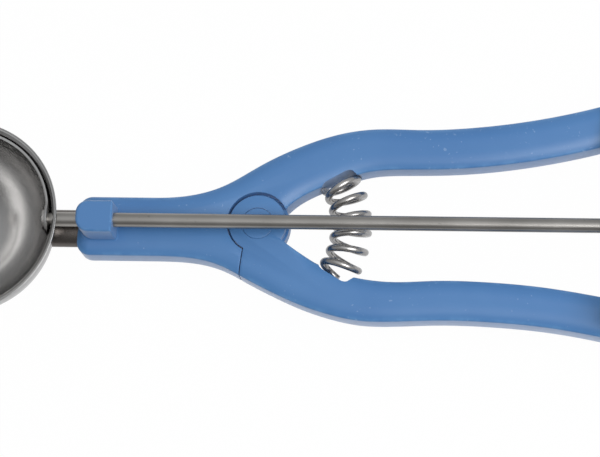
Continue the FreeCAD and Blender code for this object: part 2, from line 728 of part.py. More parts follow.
os.makedirs("parts", exist_ok=True)
for name, build in PIECES.items():
    shape = build()
    shape.exportStep("parts/" + name + ".step")
    box = shape.BoundBox
    print(name, "solids", len(shape.Solids), "valid", shape.isValid(), "volume", round(shape.Volume, 1),
          "x %.1f %.1f y %.1f %.1f z %.1f %.1f" % (box.XMin, box.XMax, box.YMin, box.YMax, box.ZMin, box.ZMax))
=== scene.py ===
"""Lever ice cream scoop: its dressed pieces, their finishes, the studio and the camera.

The tool lies face up. +X runs along the shaft from the bowl to the handle ends, +Y points
to the fixed handle, and +Z is the way the bowl opens. Sizes are in millimetres until a
mesh is finished, which is in metres.
"""

from __future__ import annotations

import json
import logging
import math
from dataclasses import dataclass, field
from enum import Enum

import bmesh
import bpy
from mathutils import Matrix, Vector

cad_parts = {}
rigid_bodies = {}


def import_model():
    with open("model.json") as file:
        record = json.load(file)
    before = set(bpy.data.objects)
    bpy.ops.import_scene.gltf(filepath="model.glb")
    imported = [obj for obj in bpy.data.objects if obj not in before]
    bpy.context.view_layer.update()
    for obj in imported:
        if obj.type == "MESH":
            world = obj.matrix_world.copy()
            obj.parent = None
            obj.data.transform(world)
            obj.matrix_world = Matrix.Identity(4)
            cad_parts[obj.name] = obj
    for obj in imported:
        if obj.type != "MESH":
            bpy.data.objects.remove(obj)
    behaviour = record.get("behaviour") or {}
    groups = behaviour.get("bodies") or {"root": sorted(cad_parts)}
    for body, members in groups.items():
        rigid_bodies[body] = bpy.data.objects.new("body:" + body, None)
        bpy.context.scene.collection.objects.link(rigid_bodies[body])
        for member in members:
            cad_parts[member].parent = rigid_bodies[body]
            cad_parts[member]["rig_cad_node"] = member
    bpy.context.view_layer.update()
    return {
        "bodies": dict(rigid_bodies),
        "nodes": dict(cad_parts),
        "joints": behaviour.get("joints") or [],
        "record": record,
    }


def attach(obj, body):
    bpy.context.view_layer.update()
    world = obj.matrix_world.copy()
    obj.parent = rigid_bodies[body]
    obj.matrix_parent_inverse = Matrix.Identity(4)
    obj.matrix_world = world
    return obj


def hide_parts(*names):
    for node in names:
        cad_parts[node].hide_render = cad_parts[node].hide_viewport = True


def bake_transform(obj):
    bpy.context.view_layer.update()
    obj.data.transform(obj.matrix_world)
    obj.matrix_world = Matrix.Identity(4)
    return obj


LOG = logging.getLogger("scoop")
MM = 0.001
UP = Vector((0.0, 0.0, 1.0))
ALONG = Vector((1.0, 0.0, 0.0))

# A length below TINY counts as nothing, and a line that bends by less than STRAIGHT as straight.
# Points closer than TOUCH are one point of a line. WELD is the same for vertices, in metres.
TINY = 1e-9
STRAIGHT = 1e-4
TOUCH = 1e-4
WELD = 2e-6

Mesh = bpy.types.Mesh
Node = bpy.types.Node
Object = bpy.types.Object
Socket = bpy.types.NodeSocket
Tree = bpy.types.NodeTree
Pair = tuple[float, float]
Triple = tuple[float, float, float]
Line = list[Vector]
Ring = list[int]
Section = list[Pair]
Inputs = dict[str | int, object]


class Body(Enum):
    """The rigid bodies that pieces ride on."""

    FRAME = "frame_body"
    LEVER = "lever"
    SCRAPER = "scraper"


class Slot(Enum):
    """The material slots that pieces take their finish from."""

    PLASTIC = "blue_plastic"
    BOWL = "bowl_steel"
    SHAFT = "shaft_steel"
    STEM = "stem_steel"
    POLISHED = "polished_steel"
    DRIVE = "drive_steel"
    BRASS = "bush_brass"


@dataclass(frozen=True)
class Plan:
    """Places that several pieces share, in millimetres.

    Attributes:
        pivot: Where the two handles turn, in plan.
        thick: Thickness of the moulded handles.
        mid: Height of their middle plane.
        edge: Height at which the crown meets the side wall.
        inset: Width of the crown, from the wall to the flat of the face.
        shaft_z: Height of the shaft's axis.
        shaft_r: Radius of the shaft.
        bowl_x: The bowl's centre along the shaft.
        recess_r: Radius of the round recess at the pivot.
        recess_up: How far the recess is set above the pivot in plan.
        disc_r: Radius of the moving handle's disc in it.
        stop_gap: Gap between the handles' stop faces.
    """

    pivot: Pair = (46.5, 1.0)
    thick: float = 10.0
    mid: float = 5.0
    edge: float = 8.5
    inset: float = 4.5
    shaft_z: float = 15.5
    shaft_r: float = 2.1
    bowl_x: float = -40.5
    recess_r: float = 9.1
    recess_up: float = 0.33
    disc_r: float = 8.35
    stop_gap: float = 0.35

    def around_pivot(self, radius: float, degrees: float) -> Vector:
        """A point in plan at a radius and angle about the pivot.

        Args:
            radius: Distance from the pivot.
            degrees: Angle from the shaft's direction.

        Returns:
            The point.
        """
        angle = math.radians(degrees)
        return Vector((self.pivot[0] + radius * math.cos(angle),
                       self.pivot[1] + radius * math.sin(angle)))

    def recess(self, degrees: float) -> Vector:
        """A point on the edge of the recess, at an angle about its centre."""
        return self.around_pivot(self.recess_r, degrees) + Vector((0.0, self.recess_up))

    @property
    def crown_r(self) -> float:
        """Radius of the crown's arc."""
        rise = self.thick - self.edge
        return (self.inset ** 2 + rise ** 2) / (2 * rise)

    def crown(self, out: float) -> float:
        """Height of the crown at a distance out from the flat of the face."""
        return self.thick - self.crown_r + math.sqrt(self.crown_r ** 2 - out ** 2)


PLAN = Plan()


# Plan curves

def heading(degrees: float) -> Vector:
    """A unit vector in plan at an angle from the shaft."""
    return Vector((math.cos(math.radians(degrees)), math.sin(math.radians(degrees))))


def left_of(direction: Vector) -> Vector:
    """The unit vector to the left of a direction in plan."""
    return Vector((-direction.y, direction.x)).normalized()


def flowing_line(points: list[Pair], start: Vector, end: Vector,
                 step: float = 0.9) -> Line:
    """A smooth line through a few points, like a draughtsman's spline.

    Args:
        points: The points to pass through.
        start: Direction in which the line leaves the first point.
        end: Direction in which it arrives at the last point.
        step: Spacing of the returned points.

    Returns:
        Points along the line, the given ones among them.
    """
    knots = [Vector(p) for p in points]
    spans = [(b - a).length for a, b in zip(knots, knots[1:])]
    slopes = [start.normalized()]
    carry = [0.0]
    for i in range(1, len(knots) - 1):
        before, after = spans[i - 1], spans[i]
        pull = ((knots[i] - knots[i - 1]) / before ** 2 + (knots[i + 1] - knots[i]) / after ** 2)
        weight = 2 * (1 / before + 1 / after) - carry[-1] / before
        slopes.append((3 * pull - slopes[-1] / before) / weight)
        carry.append(1 / after / weight)
    slopes.append(end.normalized())
    for i in range(len(knots) - 2, 0, -1):
        slopes[i] = slopes[i] - carry[i] * slopes[i + 1]
    line = [knots[0]]
    for i, span in enumerate(spans):
        count = max(2, math.ceil(span / step))
        for j in range(1, count + 1):
            t = j / count
            line.append((2 * t ** 3 - 3 * t ** 2 + 1) * knots[i]
                        + (t ** 3 - 2 * t ** 2 + t) * span * slopes[i]
                        + (3 * t ** 2 - 2 * t ** 3) * knots[i + 1]
                        + (t ** 3 - t ** 2) * span * slopes[i + 1])
    return line


def turn(centre: Vector, radius: float, first: float, last: float, step: float = 0.6) -> Line:
    """Points on an arc from one angle to another, in degrees."""
    count = max(3, math.ceil(abs(math.radians(last - first)) * radius / step))
    return [centre + radius * heading(first + (last - first) * i / count)
            for i in range(count + 1)]


def straight(a: Vector, b: Vector, step: float = 1.5) -> Line:
    """Points on a straight line from a to b."""
    count = max(1, math.ceil((b - a).length / step))
    return [a.lerp(b, i / count) for i in range(count + 1)]


def chain(*lines: Line) -> Line:
    """Lines joined end to end, with each shared point kept once."""
    joined = list(lines[0])
    for line in lines[1:]:
        joined += line[1:] if (line[0] - joined[-1]).length < TOUCH else line
    return joined


def distances(line: Line) -> list[float]:
    """The way along a line to each of its points."""
    found = [0.0]
    for a, b in zip(line, line[1:]):
        found.append(found[-1] + (b - a).length)
    return found


def bearing(way: Vector) -> float:
    """The angle of a direction in plan from the shaft, in degrees."""
    return math.degrees(math.atan2(way.y, way.x))


def smoothstep(t: float) -> float:
    """Ease from 0 to 1, held outside that."""
    t = min(max(t, 0.0), 1.0)
    return t * t * (3 - 2 * t)


def quarter_round(radius: float, steps: int) -> Section:
    """Pairs on a quarter circle about (radius, radius), from (radius, 0) to (0, radius)."""
    angles = [math.pi / 2 * i / steps for i in range(steps + 1)]
    return [(radius * (1 - math.sin(a)), radius * (1 - math.cos(a))) for a in angles]


# Meshes

@dataclass
class Sketch:
    """Vertices and faces of a piece while it is drawn, in millimetres.

    Attributes:
        points: The vertices.
        faces: Their indices, face by face.
        rub_and_highlight: How exposed each vertex is to rubbing, from 0 to 1; the plastic pales its
            edges by it, as wear and as a painted edge highlight.
    """

    points: Line = field(default_factory=list)
    faces: list[list[int]] = field(default_factory=list)
    rub_and_highlight: dict[int, float] = field(default_factory=dict)

    def add(self, point: Vector | Triple, rub_and_highlight: float = 0.0) -> int:
        """Add a vertex and return its index."""
        self.points.append(Vector(point))
        if rub_and_highlight:
            self.rub_and_highlight[len(self.points) - 1] = rub_and_highlight
        return len(self.points) - 1

    def skin(self, rings: list[list[int]], closed: bool) -> None:
        """Join neighbouring rings of vertices with quads.

        Args:
            rings: Equal lists of vertex indices.
            closed: Whether each ring runs round to its own start.
        """
        for low, high in zip(rings, rings[1:]):
            count = len(low)
            for i in range(count if closed else count - 1):
                j = (i + 1) % count
                self.faces.append([low[i], low[j], high[j], high[i]])

    def lathe(self, profile: Section, origin: Vector, axis: Vector, segments: int = 96) -> None:
        """Turn a profile round an axis, with pointed ends closed.

        Args:
            profile: Pairs of distance along the axis and radius, from one end to the other.
            origin: Where distances along the axis start.
            axis: Direction of the axis.
            segments: Number of steps round.
        """
        axis = axis.normalized()
        side = axis.orthogonal().normalized()
        up = axis.cross(side)
        rings = []
        for along, radius in profile:
            centre = origin + axis * along
            if radius < TINY:
                rings.append([self.add(centre)] * segments)
                continue
            rings.append([self.add(centre + radius * (math.cos(a) * side + math.sin(a) * up))
                          for a in (math.tau * i / segments for i in range(segments))])
        self.skin(rings, True)

    def mesh(self, name: str) -> Mesh:
        """The finished mesh in metres, outward facing, with collapsed faces removed."""
        faces = []
        for face in self.faces:
            kept = [v for i, v in enumerate(face) if v != face[i - 1]]
            if len(set(kept)) > 2:
                faces.append(kept)
        mesh = bpy.data.meshes.new(name)
        mesh.from_pydata([tuple(p * MM) for p in self.points], [], faces)
        wear_and_highlight = mesh.attributes.new("rub_and_highlight", "FLOAT", "POINT")
        for index, amount in self.rub_and_highlight.items():
            wear_and_highlight.data[index].value = amount
        mesh.validate()
        return mesh

    def put(self, name: str) -> Object:
        """Put the sketch in the scene, welded and facing outward."""
        mesh = self.mesh(name)
        weld(mesh)
        return place(name, mesh)


def weld(mesh: Mesh) -> None:
    """Weld a mesh, drop its loose vertices and turn its faces outward."""
    work = bmesh.new()
    work.from_mesh(mesh)
    bmesh.ops.remove_doubles(work, verts=work.verts, dist=WELD)
    bmesh.ops.delete(work, geom=[v for v in work.verts if not v.link_faces], context="VERTS")
    bmesh.ops.recalc_face_normals(work, faces=work.faces)
    work.to_mesh(mesh)
    work.free()


def place(name: str, mesh: Mesh) -> Object:
    """Put a mesh in the scene as an object."""
    obj = bpy.data.objects.new(name, mesh)
    bpy.context.scene.collection.objects.link(obj)
    return obj


def shade(obj: Object, degrees: float = 32.0) -> None:
    """Shade a piece smooth, with its sharp edges kept."""
    for polygon in obj.data.polygons:
        polygon.use_smooth = True
    obj.data.set_sharp_from_angle(angle=math.radians(degrees))


def settle(obj: Object) -> None:
    """Apply an object's modifiers to its mesh."""
    graph = bpy.context.evaluated_depsgraph_get()
    made = bpy.data.meshes.new_from_object(obj.evaluated_get(graph))
    obj.modifiers.clear()
    old = obj.data
    obj.data = made
    bpy.data.meshes.remove(old)


def carve(obj: Object, tools: list[Object]) -> None:
    """Cut a piece with a list of closed tool shapes, and remove the tools."""
    for tool in tools:
        cut = obj.modifiers.new("carve", "BOOLEAN")
        cut.operation = "DIFFERENCE"
        cut.solver = "EXACT"
        cut.object = tool
        settle(obj)
        bpy.data.objects.remove(tool)


def soften(obj: Object, width: float, degrees: float = 50.0) -> None:
    """Break the sharp edges of a piece.

    Args:
        obj: The piece.
        width: Width of the broken edge in millimetres.
        degrees: Edges sharper than this are broken.
    """
    bevel = obj.modifiers.new("edges", "BEVEL")
    bevel.width = width * MM
    bevel.segments = 2
    bevel.limit_method = "ANGLE"
    bevel.angle_limit = math.radians(degrees)
    bevel.use_clamp_overlap = True
    bevel.miter_outer = "MITER_ARC"
    settle(obj)


def turned(name: str, profile: Section, origin: Triple, axis: Vector,
           segments: int) -> Object:
    """Turn a profile into an object of its own.

    Args:
        name: Name of the object.
        profile: Pairs of distance along the axis and radius, from one end to the other.
        origin: Where distances along the axis start.
        axis: Direction of the axis.
        segments: Number of steps round.

    Returns:
        The object.
    """
    sketch = Sketch()
    sketch.lathe(profile, Vector(origin), axis, segments)
    return sketch.put(name)


def rod_profile(length: float, radius: float) -> Section:
    """The profile of a plain closed rod."""
    return [(0.0, 0.0), (0.0, radius), (length, radius), (length, 0.0)]


# Node trees

class Wiring:
    """A short way to lay out a node tree."""

    def __init__(self, tree: Tree) -> None:
        """Start on a tree."""
        self.tree = tree

    def node(self, kind: str, inputs: Inputs | None = None, **settings: object) -> Node:
        """Add a node, set its properties and fill its inputs.

        Args:
            kind: The node's type name.
            inputs: What goes into its inputs, by name or place.
            **settings: Properties of the node.

        Returns:
            The node.
        """
        made = self.tree.nodes.new(kind)
        for key, value in settings.items():
            setattr(made, key, value)
        self.fill(made, inputs or {})
        return made

    def fill(self, node: Node, inputs: Inputs) -> None:
        """Link inputs of a node to sockets, or set their values.

        Args:
            node: The node.
            inputs: Output sockets, numbers, colours or vectors, by name or place.
        """
        for key, value in inputs.items():
            if isinstance(value, Socket):
                self.tree.links.new(value, node.inputs[key])
            else:
                node.inputs[key].default_value = value

    def given(self) -> dict[str, Socket]:
        """The tree's own inputs, by name."""
        return {s.name: s for s in self.node("NodeGroupInput").outputs if s.name}

    def math(self, operation: str, *values: object) -> Socket:
        """A maths node on numbers or sockets, and its output."""
        return self.node("ShaderNodeMath", dict(enumerate(values)), operation=operation).outputs[0]

    def noise(self, where: Socket, scale: object, detail: float, rough: float = 0.5) -> Socket:
        """A noise value on a coordinate."""
        inputs = {"Vector": where, "Scale": scale, "Detail": detail, "Roughness": rough}
        return self.node("ShaderNodeTexNoise", inputs).outputs["Fac"]

    def span(self, value: object, low: float, high: float, to_low: float = 0.0,
             to_high: float = 1.0) -> Socket:
        """A value moved from one range to another and held there."""
        inputs = dict(enumerate((value, low, high, to_low, to_high)))
        return self.node("ShaderNodeMapRange", inputs).outputs[0]

    def mix(self, factor: object, a: object, b: object) -> Socket:
        """Two colours mixed by a factor."""
        return self.node("ShaderNodeMix", {0: factor, 6: a, 7: b}, data_type="RGBA").outputs[2]


def shader_group(name: str, inputs: dict[str, tuple[str, object]],
                 outputs: tuple[str, ...]) -> tuple[Wiring, Node]:
    """Start a shader node group with named sockets.

    Args:
        name: The group's name.
        inputs: Socket type and default value for each input name.
        outputs: Names of its outputs, which are numbers.

    Returns:
        The group's wiring and its output node.
    """
    group = bpy.data.node_groups.new(name, "ShaderNodeTree")
    for label, (kind, value) in inputs.items():
        socket = group.interface.new_socket(label, in_out="INPUT", socket_type=kind)
        if value is not None:
            socket.default_value = value
    for label in outputs:
        group.interface.new_socket(label, in_out="OUTPUT", socket_type="NodeSocketFloat")
    wiring = Wiring(group)
    return wiring, wiring.node("NodeGroupOutput")


def linear(red: float, green: float, blue: float) -> tuple[float, float, float, float]:
    """A colour in Blender's linear values from 0 to 255 display values."""
    def one(value: float) -> float:
        value = value / 255
        return value / 12.92 if value <= 0.04045 else ((value + 0.055) / 1.055) ** 2.4
    return one(red), one(green), one(blue), 1.0


class SurfaceGroups:
    """The effects that several finishes share."""

    def __init__(self) -> None:
        """Build each group once."""
        self.cloud = self.build_cloud()
        self.grain = self.build_grain()

    @staticmethod
    def build_cloud() -> Tree:
        """Slow unevenness of tone over a surface, with small specks of dust and wear."""
        wire, leave = shader_group(
            "surface_cloud",
            {"Vector": ("NodeSocketVector", None), "Size": ("NodeSocketFloat", 40.0),
             "Specks": ("NodeSocketFloat", 0.3)},
            ("Cloud", "Speck"))
        given = wire.given()
        slow = wire.noise(given["Vector"], given["Size"], 3.0)
        fine = wire.noise(given["Vector"], 900.0, 1.0)
        patch = wire.noise(given["Vector"], 140.0, 2.0)
        dots = wire.math("MULTIPLY", wire.span(fine, 0.68, 0.74), wire.span(patch, 0.5, 0.62))
        wire.fill(leave, {"Cloud": wire.span(slow, 0.32, 0.68),
                          "Speck": wire.math("MULTIPLY", dots, given["Specks"])})
        return wire.tree

    @staticmethod
    def build_grain() -> Tree:
        """A fine height for moulded or drawn surfaces, stretched along one direction."""
        wire, leave = shader_group(
            "fine_grain",
            {"Vector": ("NodeSocketVector", None), "Stretch": ("NodeSocketVector", (1.0, 1.0, 1.0)),
             "Size": ("NodeSocketFloat", 2000.0)},
            ("Height",))
        given = wire.given()
        scaled = wire.node("ShaderNodeVectorMath", {0: given["Vector"], 1: given["Stretch"]},
                           operation="MULTIPLY")
        wire.fill(leave, {"Height": wire.noise(scaled.outputs[0], given["Size"], 3.0, 0.6)})
        return wire.tree


class Surface:
    """A material while it is wired, with the shared effects laid on it.

    Attributes:
        material: The material.
        wire: Its wiring.
        where: The coordinate that its patterns are laid on.
        cloud: The slow clouds.
        speck: The specks.
        height: The height of the fine grain.
    """

    def __init__(self, name: str, groups: SurfaceGroups, clouds: Pair, grain: Inputs) -> None:
        """Start the material.

        Args:
            name: Name of the material.
            groups: The shared effects.
            clouds: Fineness of the clouds and strength of the specks.
            grain: Inputs of the fine grain.
        """
        self.material = bpy.data.materials.new(name)
        self.material.use_nodes = True
        self.wire = Wiring(self.material.node_tree)
        self.where = self.wire.node("ShaderNodeTexCoord").outputs["Object"]
        size, specks = clouds
        cloud = self.wire.node("ShaderNodeGroup", node_tree=groups.cloud)
        self.wire.fill(cloud, {"Vector": self.where, "Size": size, "Specks": specks})
        fine = self.wire.node("ShaderNodeGroup", node_tree=groups.grain)
        self.wire.fill(fine, {"Vector": self.where, **grain})
        self.cloud, self.speck = cloud.outputs["Cloud"], cloud.outputs["Speck"]
        self.height = fine.outputs["Height"]

    def finish(self, strength: float, depth: float, inputs: Inputs) -> bpy.types.Material:
        """Fill the shader, with the fine grain as its relief.

        Args:
            strength: Strength of the relief.
            depth: Its depth in millimetres.
            inputs: The shader's other inputs.

        Returns:
            The material.
        """
        relief = self.wire.node("ShaderNodeBump", {"Strength": strength, "Distance": depth * MM,
                                                   "Height": self.height})
        shader = self.material.node_tree.nodes["Principled BSDF"]
        self.wire.fill(shader, {**inputs, "Normal": relief.outputs["Normal"]})
        return self.material


@dataclass(frozen=True)
class Plastic:
    """A satin moulded plastic.

    Attributes:
        name: Name of the material.
        shade: Its colour.
        pale: The colour that slow clouds lean to, and that the edges lean to as wear and as a painted
            edge highlight.
        dust: The colour of its specks.
        roughness: Middle roughness.
        clouds: Fineness of the clouds and strength of the specks.
        grain: Height of the moulded grain in millimetres.
        grain_size: Fineness of the grain.
    """

    name: str = "blue_moulded_plastic"
    shade: Triple = (67, 118, 174)
    pale: Triple = (101, 150, 199)
    dust: Triple = (190, 212, 236)
    roughness: float = 0.42
    clouds: Pair = (45.0, 0.22)
    grain: float = 0.006
    grain_size: float = 1600.0

    def material(self, groups: SurfaceGroups) -> bpy.types.Material:
        """Build the material on the shared effects."""
        surface = Surface(self.name, groups, self.clouds, {"Size": self.grain_size})
        wire = surface.wire
        # The rub attribute pales the rounded edges: partly wear, partly a painted highlight where the
        # rounds catch the light.
        rub_and_highlight = wire.node("ShaderNodeAttribute", attribute_name="rub_and_highlight").outputs["Fac"]
        breakup = wire.span(wire.noise(surface.where, 260.0, 3.0), 0.42, 0.62, 0.2)
        wear_and_highlight = wire.math("MULTIPLY", rub_and_highlight, breakup)
        pale = linear(*self.pale)
        tone = wire.mix(wire.math("MULTIPLY", surface.cloud, 0.16), linear(*self.shade), pale)
        tone = wire.mix(wire.math("MULTIPLY", wear_and_highlight, 0.55), tone, pale)
        tone = wire.mix(surface.speck, tone, linear(*self.dust))
        uneven = wire.math("MULTIPLY", surface.cloud, 0.1)
        return surface.finish(0.35, self.grain, {
            "Base Color": tone,
            "Roughness": wire.math("ADD", self.roughness - 0.05, uneven),
            "Specular IOR Level": 0.45,
            "Coat Weight": 0.35,
            "Coat Roughness": 0.28,
            "Sheen Weight": 0.7,
            "Sheen Roughness": 0.3,
            "Sheen Tint": (0.86, 0.89, 1.0, 1.0),
        })


@dataclass(frozen=True)
class Metal:
    """A bare metal with drawn or turned marks.

    Attributes:
        name: Name of the material.
        shade: Its colour.
        dull: The colour of its clouded places.
        roughness: Middle roughness.
        marks: Depth of the marks in millimetres.
        stretch: How the marks are stretched along X, Y and Z: small means long.
        size: Fineness of the marks.
        dirt: The colour of its specks.
        clouds: Fineness of the clouds and strength of the specks.
    """

    name: str
    shade: Triple
    dull: Triple
    roughness: float
    marks: float = 0.002
    stretch: Triple = (1.0, 1.0, 1.0)
    size: float = 900.0
    dirt: Triple = (60, 58, 56)
    clouds: Pair = (70.0, 0.2)

    def material(self, groups: SurfaceGroups) -> bpy.types.Material:
        """Build the material on the shared effects."""
        surface = Surface(self.name, groups, self.clouds,
                          {"Stretch": self.stretch, "Size": self.size})
        wire = surface.wire
        tone = wire.mix(surface.cloud, linear(*self.shade), linear(*self.dull))
        tone = wire.mix(surface.speck, tone, linear(*self.dirt))
        uneven = wire.span(surface.height, 0.3, 0.7, -0.05, 0.05)
        return surface.finish(0.3, self.marks, {
            "Base Color": tone,
            "Metallic": 1.0,
            "Roughness": wire.math("ADD", self.roughness, uneven),
        })


class Finishes:
    """Every material of the tool, by slot."""

    def __init__(self) -> None:
        """Build the materials."""
        groups = SurfaceGroups()
        finishes = {
            Slot.PLASTIC: Plastic(),
            Slot.BOWL: Metal("bowl_satin_steel", (171, 170, 169), (164, 163, 162), 0.2,
                             marks=0.004, stretch=(0.0, 0.0, 1.0), size=260.0),
            Slot.SHAFT: Metal("drawn_shaft_steel", (156, 153, 149), (142, 139, 135), 0.32,
                              stretch=(0.04, 1.0, 1.0), size=1400.0),
            Slot.STEM: Metal("stained_stem_steel", (104, 100, 97), (88, 80, 76), 0.3, marks=0.004),
            Slot.POLISHED: Metal("polished_spring_steel", (176, 174, 172), (156, 153, 150), 0.26,
                                 marks=0.0015),
            Slot.DRIVE: Metal("pressed_drive_steel", (178, 176, 172), (160, 157, 152), 0.3),
            Slot.BRASS: Metal("bush_brass", (196, 168, 104), (170, 140, 84), 0.3),
        }
        self.by_slot = {slot: finish.material(groups) for slot, finish in finishes.items()}

    def dress(self, obj: Object, slot: Slot) -> None:
        """Give a piece the material of a slot.

        Args:
            obj: The piece or CAD node.
            slot: The slot.
        """
        obj.data.materials.clear()
        obj.data.materials.append(self.by_slot[slot])
        for polygon in obj.data.polygons:
            polygon.material_index = 0


@dataclass
class Workshop:
    """What every sub-assembly needs: the frame and the finishes.

    Attributes:
        frame: The loaded frame.
        finishes: The materials.
    """

    frame: dict
    finishes: Finishes

    def finish_piece(self, obj: Object, slot: Slot, body: Body, node: str) -> None:
        """Shade and dress a new piece, put it on its body and let it stand for a CAD node.

        Args:
            obj: The piece.
            slot: Its material slot.
            body: The body it rides on.
            node: The CAD node it replaces.
        """
        shade(obj)
        self.finishes.dress(obj, slot)
        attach(obj, body.value)
        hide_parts(node)
        LOG.info("%s: %d faces on %s", obj.name, len(obj.data.polygons), body.value)

    def keep_node(self, node: str, slot: Slot) -> None:
        """Dress a CAD node that stays as it is."""
        self.finishes.dress(self.frame["nodes"][node], slot)
        LOG.info("%s: kept from the frame", node)


# Moulded handles

@dataclass
class CrownedMould:
    """A flat moulding whose faces fall off in a crown along its outline.

    Attributes:
        crowned: The crowned part of the outline, with the plastic on its left.
        plain: The rest of it, cut square, back to the start.
        round_r: Radius of the small round between wall and crown.
        lean_in: Length over which sections lean to follow a square-cut end.
        run_out: Length over which the crown runs out before the end, or 0 to keep it.
        depths: Depths in from the wall at which the crown is drawn, short of its inner edge.
        corner_share: Share of a hollow corner's radius that a section may take up.
        ease: Length over which a section that is narrowed there widens again.
        rub_and_highlight: Depth at which the edge is paled most, and how far that spreads; the paling
            is wear and a painted edge highlight on the round.
    """

    crowned: Line
    plain: Line
    round_r: float = 0.6
    lean_in: float = 6.0
    run_out: float = 0.0
    depths: tuple[float, ...] = (0.5, 0.85, 1.3, 1.85, 2.5, 3.2, 3.85)
    corner_share: float = 0.96
    ease: float = 4.0
    rub_and_highlight: Pair = (0.35, 0.5)

    def section(self) -> Section:
        """Depth in from the wall and height, from the wall's top to the flat."""
        steps = 4
        whole = math.pi / 2 - math.asin(PLAN.inset / PLAN.crown_r)
        section = []
        for i in range(steps + 1):
            angle = whole * i / steps
            section.append((self.round_r * (1 - math.cos(angle)),
                            PLAN.edge - self.round_r / 2 + self.round_r * math.sin(angle)))
        return section + [(d, PLAN.crown(PLAN.inset - d)) for d in (*self.depths, PLAN.inset)]

    @staticmethod
    def along_cut(path: Line, origin: Vector, inward: Vector,
                  depths: list[float]) -> tuple[Line, int]:
        """The points of a square-cut path at given depths from the crowned edge.

        Args:
            path: Points along the cut, from the edge inward.
            origin: The end of the crowned edge.
            inward: The edge's inward direction there.
            depths: The depths to find.

        Returns:
            The points, and the index of the first path point beyond the last depth.
        """
        found = []
        spot = 0
        for depth in depths:
            while spot < len(path) - 2 and (path[spot + 1] - origin).dot(inward) < depth:
                spot += 1
            a, b = path[spot], path[spot + 1]
            low, high = (a - origin).dot(inward), (b - origin).dot(inward)
            share = 0.0 if abs(high - low) < TINY else (depth - low) / (high - low)
            found.append(a.lerp(b, min(max(share, 0.0), 1.0)))
        return found, spot + 1

    def tangents(self) -> Line:
        """Direction of the crowned edge at each of its points."""
        line = self.crowned
        last = len(line) - 1
        return [(line[min(i + 1, last)] - line[max(i - 1, 0)]).normalized() for i in range(last + 1)]

    def squeeze(self, tangents: Line) -> list[float]:
        """How much each section narrows, so that tight corners don't fold over."""
        line = self.crowned
        last = len(line) - 1
        raw = []
        for i in range(last + 1):
            a, b = max(i - 1, 0), min(i + 1, last)
            bend = tangents[a].cross(tangents[b])
            run = (line[b] - line[a]).length
            hollow = bend > STRAIGHT
            raw.append(min(1.0, self.corner_share * (run / bend) / PLAN.inset) if hollow else 1.0)
        lengths = distances(line)
        tight = [i for i, value in enumerate(raw) if value < 1]
        result = []
        for here, value in zip(lengths, raw):
            for j in tight:
                away = abs(here - lengths[j])
                if away < self.ease:
                    value = min(value, raw[j] + (1 - raw[j]) * smoothstep(away / self.ease))
            result.append(value)
        return result

    @staticmethod
    def lifted(depth: float, height: float, gone: float) -> float:
        """A section height where the crown has partly run out to the full thickness.

        Args:
            depth: Depth in from the wall.
            height: The section's height there with its whole crown.
            gone: How far the crown has run out, from 0 to 1.

        Returns:
            The height.
        """
        if gone == 0:
            return height
        dip_share, dip_fade = 0.3, 8
        crown = PLAN.crown(max(PLAN.inset - depth - gone * PLAN.inset, 0.0))
        return crown + (height - PLAN.thick) * (1 - gone) * math.exp(-depth * dip_fade) * dip_share

    def sketch(self) -> Sketch:
        """Draw the closed moulding."""
        sketch = Sketch()
        section = self.section()
        depths = [d for d, _ in section]
        line = self.crowned
        tangents = self.tangents()
        first_in, last_in = left_of(tangents[0]), left_of(tangents[-1])
        start_cut, start_next = self.along_cut(self.plain[::-1], line[0], first_in, depths)
        start_off = [p - line[0] for p in start_cut]
        if self.run_out:
            end_off, end_next = [last_in * d for d in depths], 1
        else:
            end_cut, end_next = self.along_cut(self.plain, line[-1], last_in, depths)
            end_off = [p - line[-1] for p in end_cut]
        lengths = distances(line)
        peak, spread = self.rub_and_highlight
        tops, bottoms = [], []
        for point, tangent, width, here in zip(line, tangents, self.squeeze(tangents), lengths):
            inward = left_of(tangent)
            left = lengths[-1] - here
            lean_start = smoothstep(1 - here / self.lean_in)
            lean_end = smoothstep(1 - left / self.lean_in)
            gone = smoothstep(1 - left / self.run_out) if self.run_out else 0.0
            top, bottom = [], []
            for k, (depth, height) in enumerate(section):
                spot = point + inward * depth * width
                spot = spot.lerp(point + start_off[k], lean_start)
                spot = spot.lerp(point + end_off[k], lean_end)
                height = self.lifted(depth, height, gone)
                # Pale band on the round of the edge: wear and a painted edge highlight.
                rub_and_highlight = math.exp(-((depth - peak) / spread) ** 2)
                top.append(sketch.add((spot.x, spot.y, height), rub_and_highlight))
                bottom.append(sketch.add((spot.x, spot.y, PLAN.thick - height), rub_and_highlight))
            tops.append(top)
            bottoms.append(bottom)
        self.close(sketch, tops, bottoms, self.plain[end_next:len(self.plain) - start_next])
        return sketch

    def close(self, sketch: Sketch, tops: list[Ring], bottoms: list[Ring], cut: Line) -> None:
        """Skin the sections, and close the two faces and the square-cut wall.

        Args:
            sketch: Where to draw.
            tops: Vertices of each section above the middle, from the wall inward.
            bottoms: Those below it.
            cut: The square-cut outline between the last section and the first.
        """
        sketch.skin(tops, False)
        sketch.skin([b[::-1] for b in bottoms], False)
        sketch.skin([[b[0], t[0]] for b, t in zip(bottoms, tops)], False)
        flat_top = [t[-1] for t in tops]
        flat_bottom = [b[-1] for b in bottoms]
        if self.run_out:
            flat_top += tops[-1][-2::-1]
            flat_bottom += bottoms[-1][-2::-1]
            tops[-1], bottoms[-1] = tops[-1][:1], bottoms[-1][:1]
        cut_top = [sketch.add((p.x, p.y, PLAN.thick)) for p in cut]
        cut_bottom = [sketch.add((p.x, p.y, 0.0)) for p in cut]
        sketch.faces.append(flat_top + cut_top)
        sketch.faces.append((flat_bottom + cut_bottom)[::-1])
        sketch.skin([bottoms[-1] + cut_bottom + bottoms[0][::-1],
                     tops[-1] + cut_top + tops[0][::-1]], False)


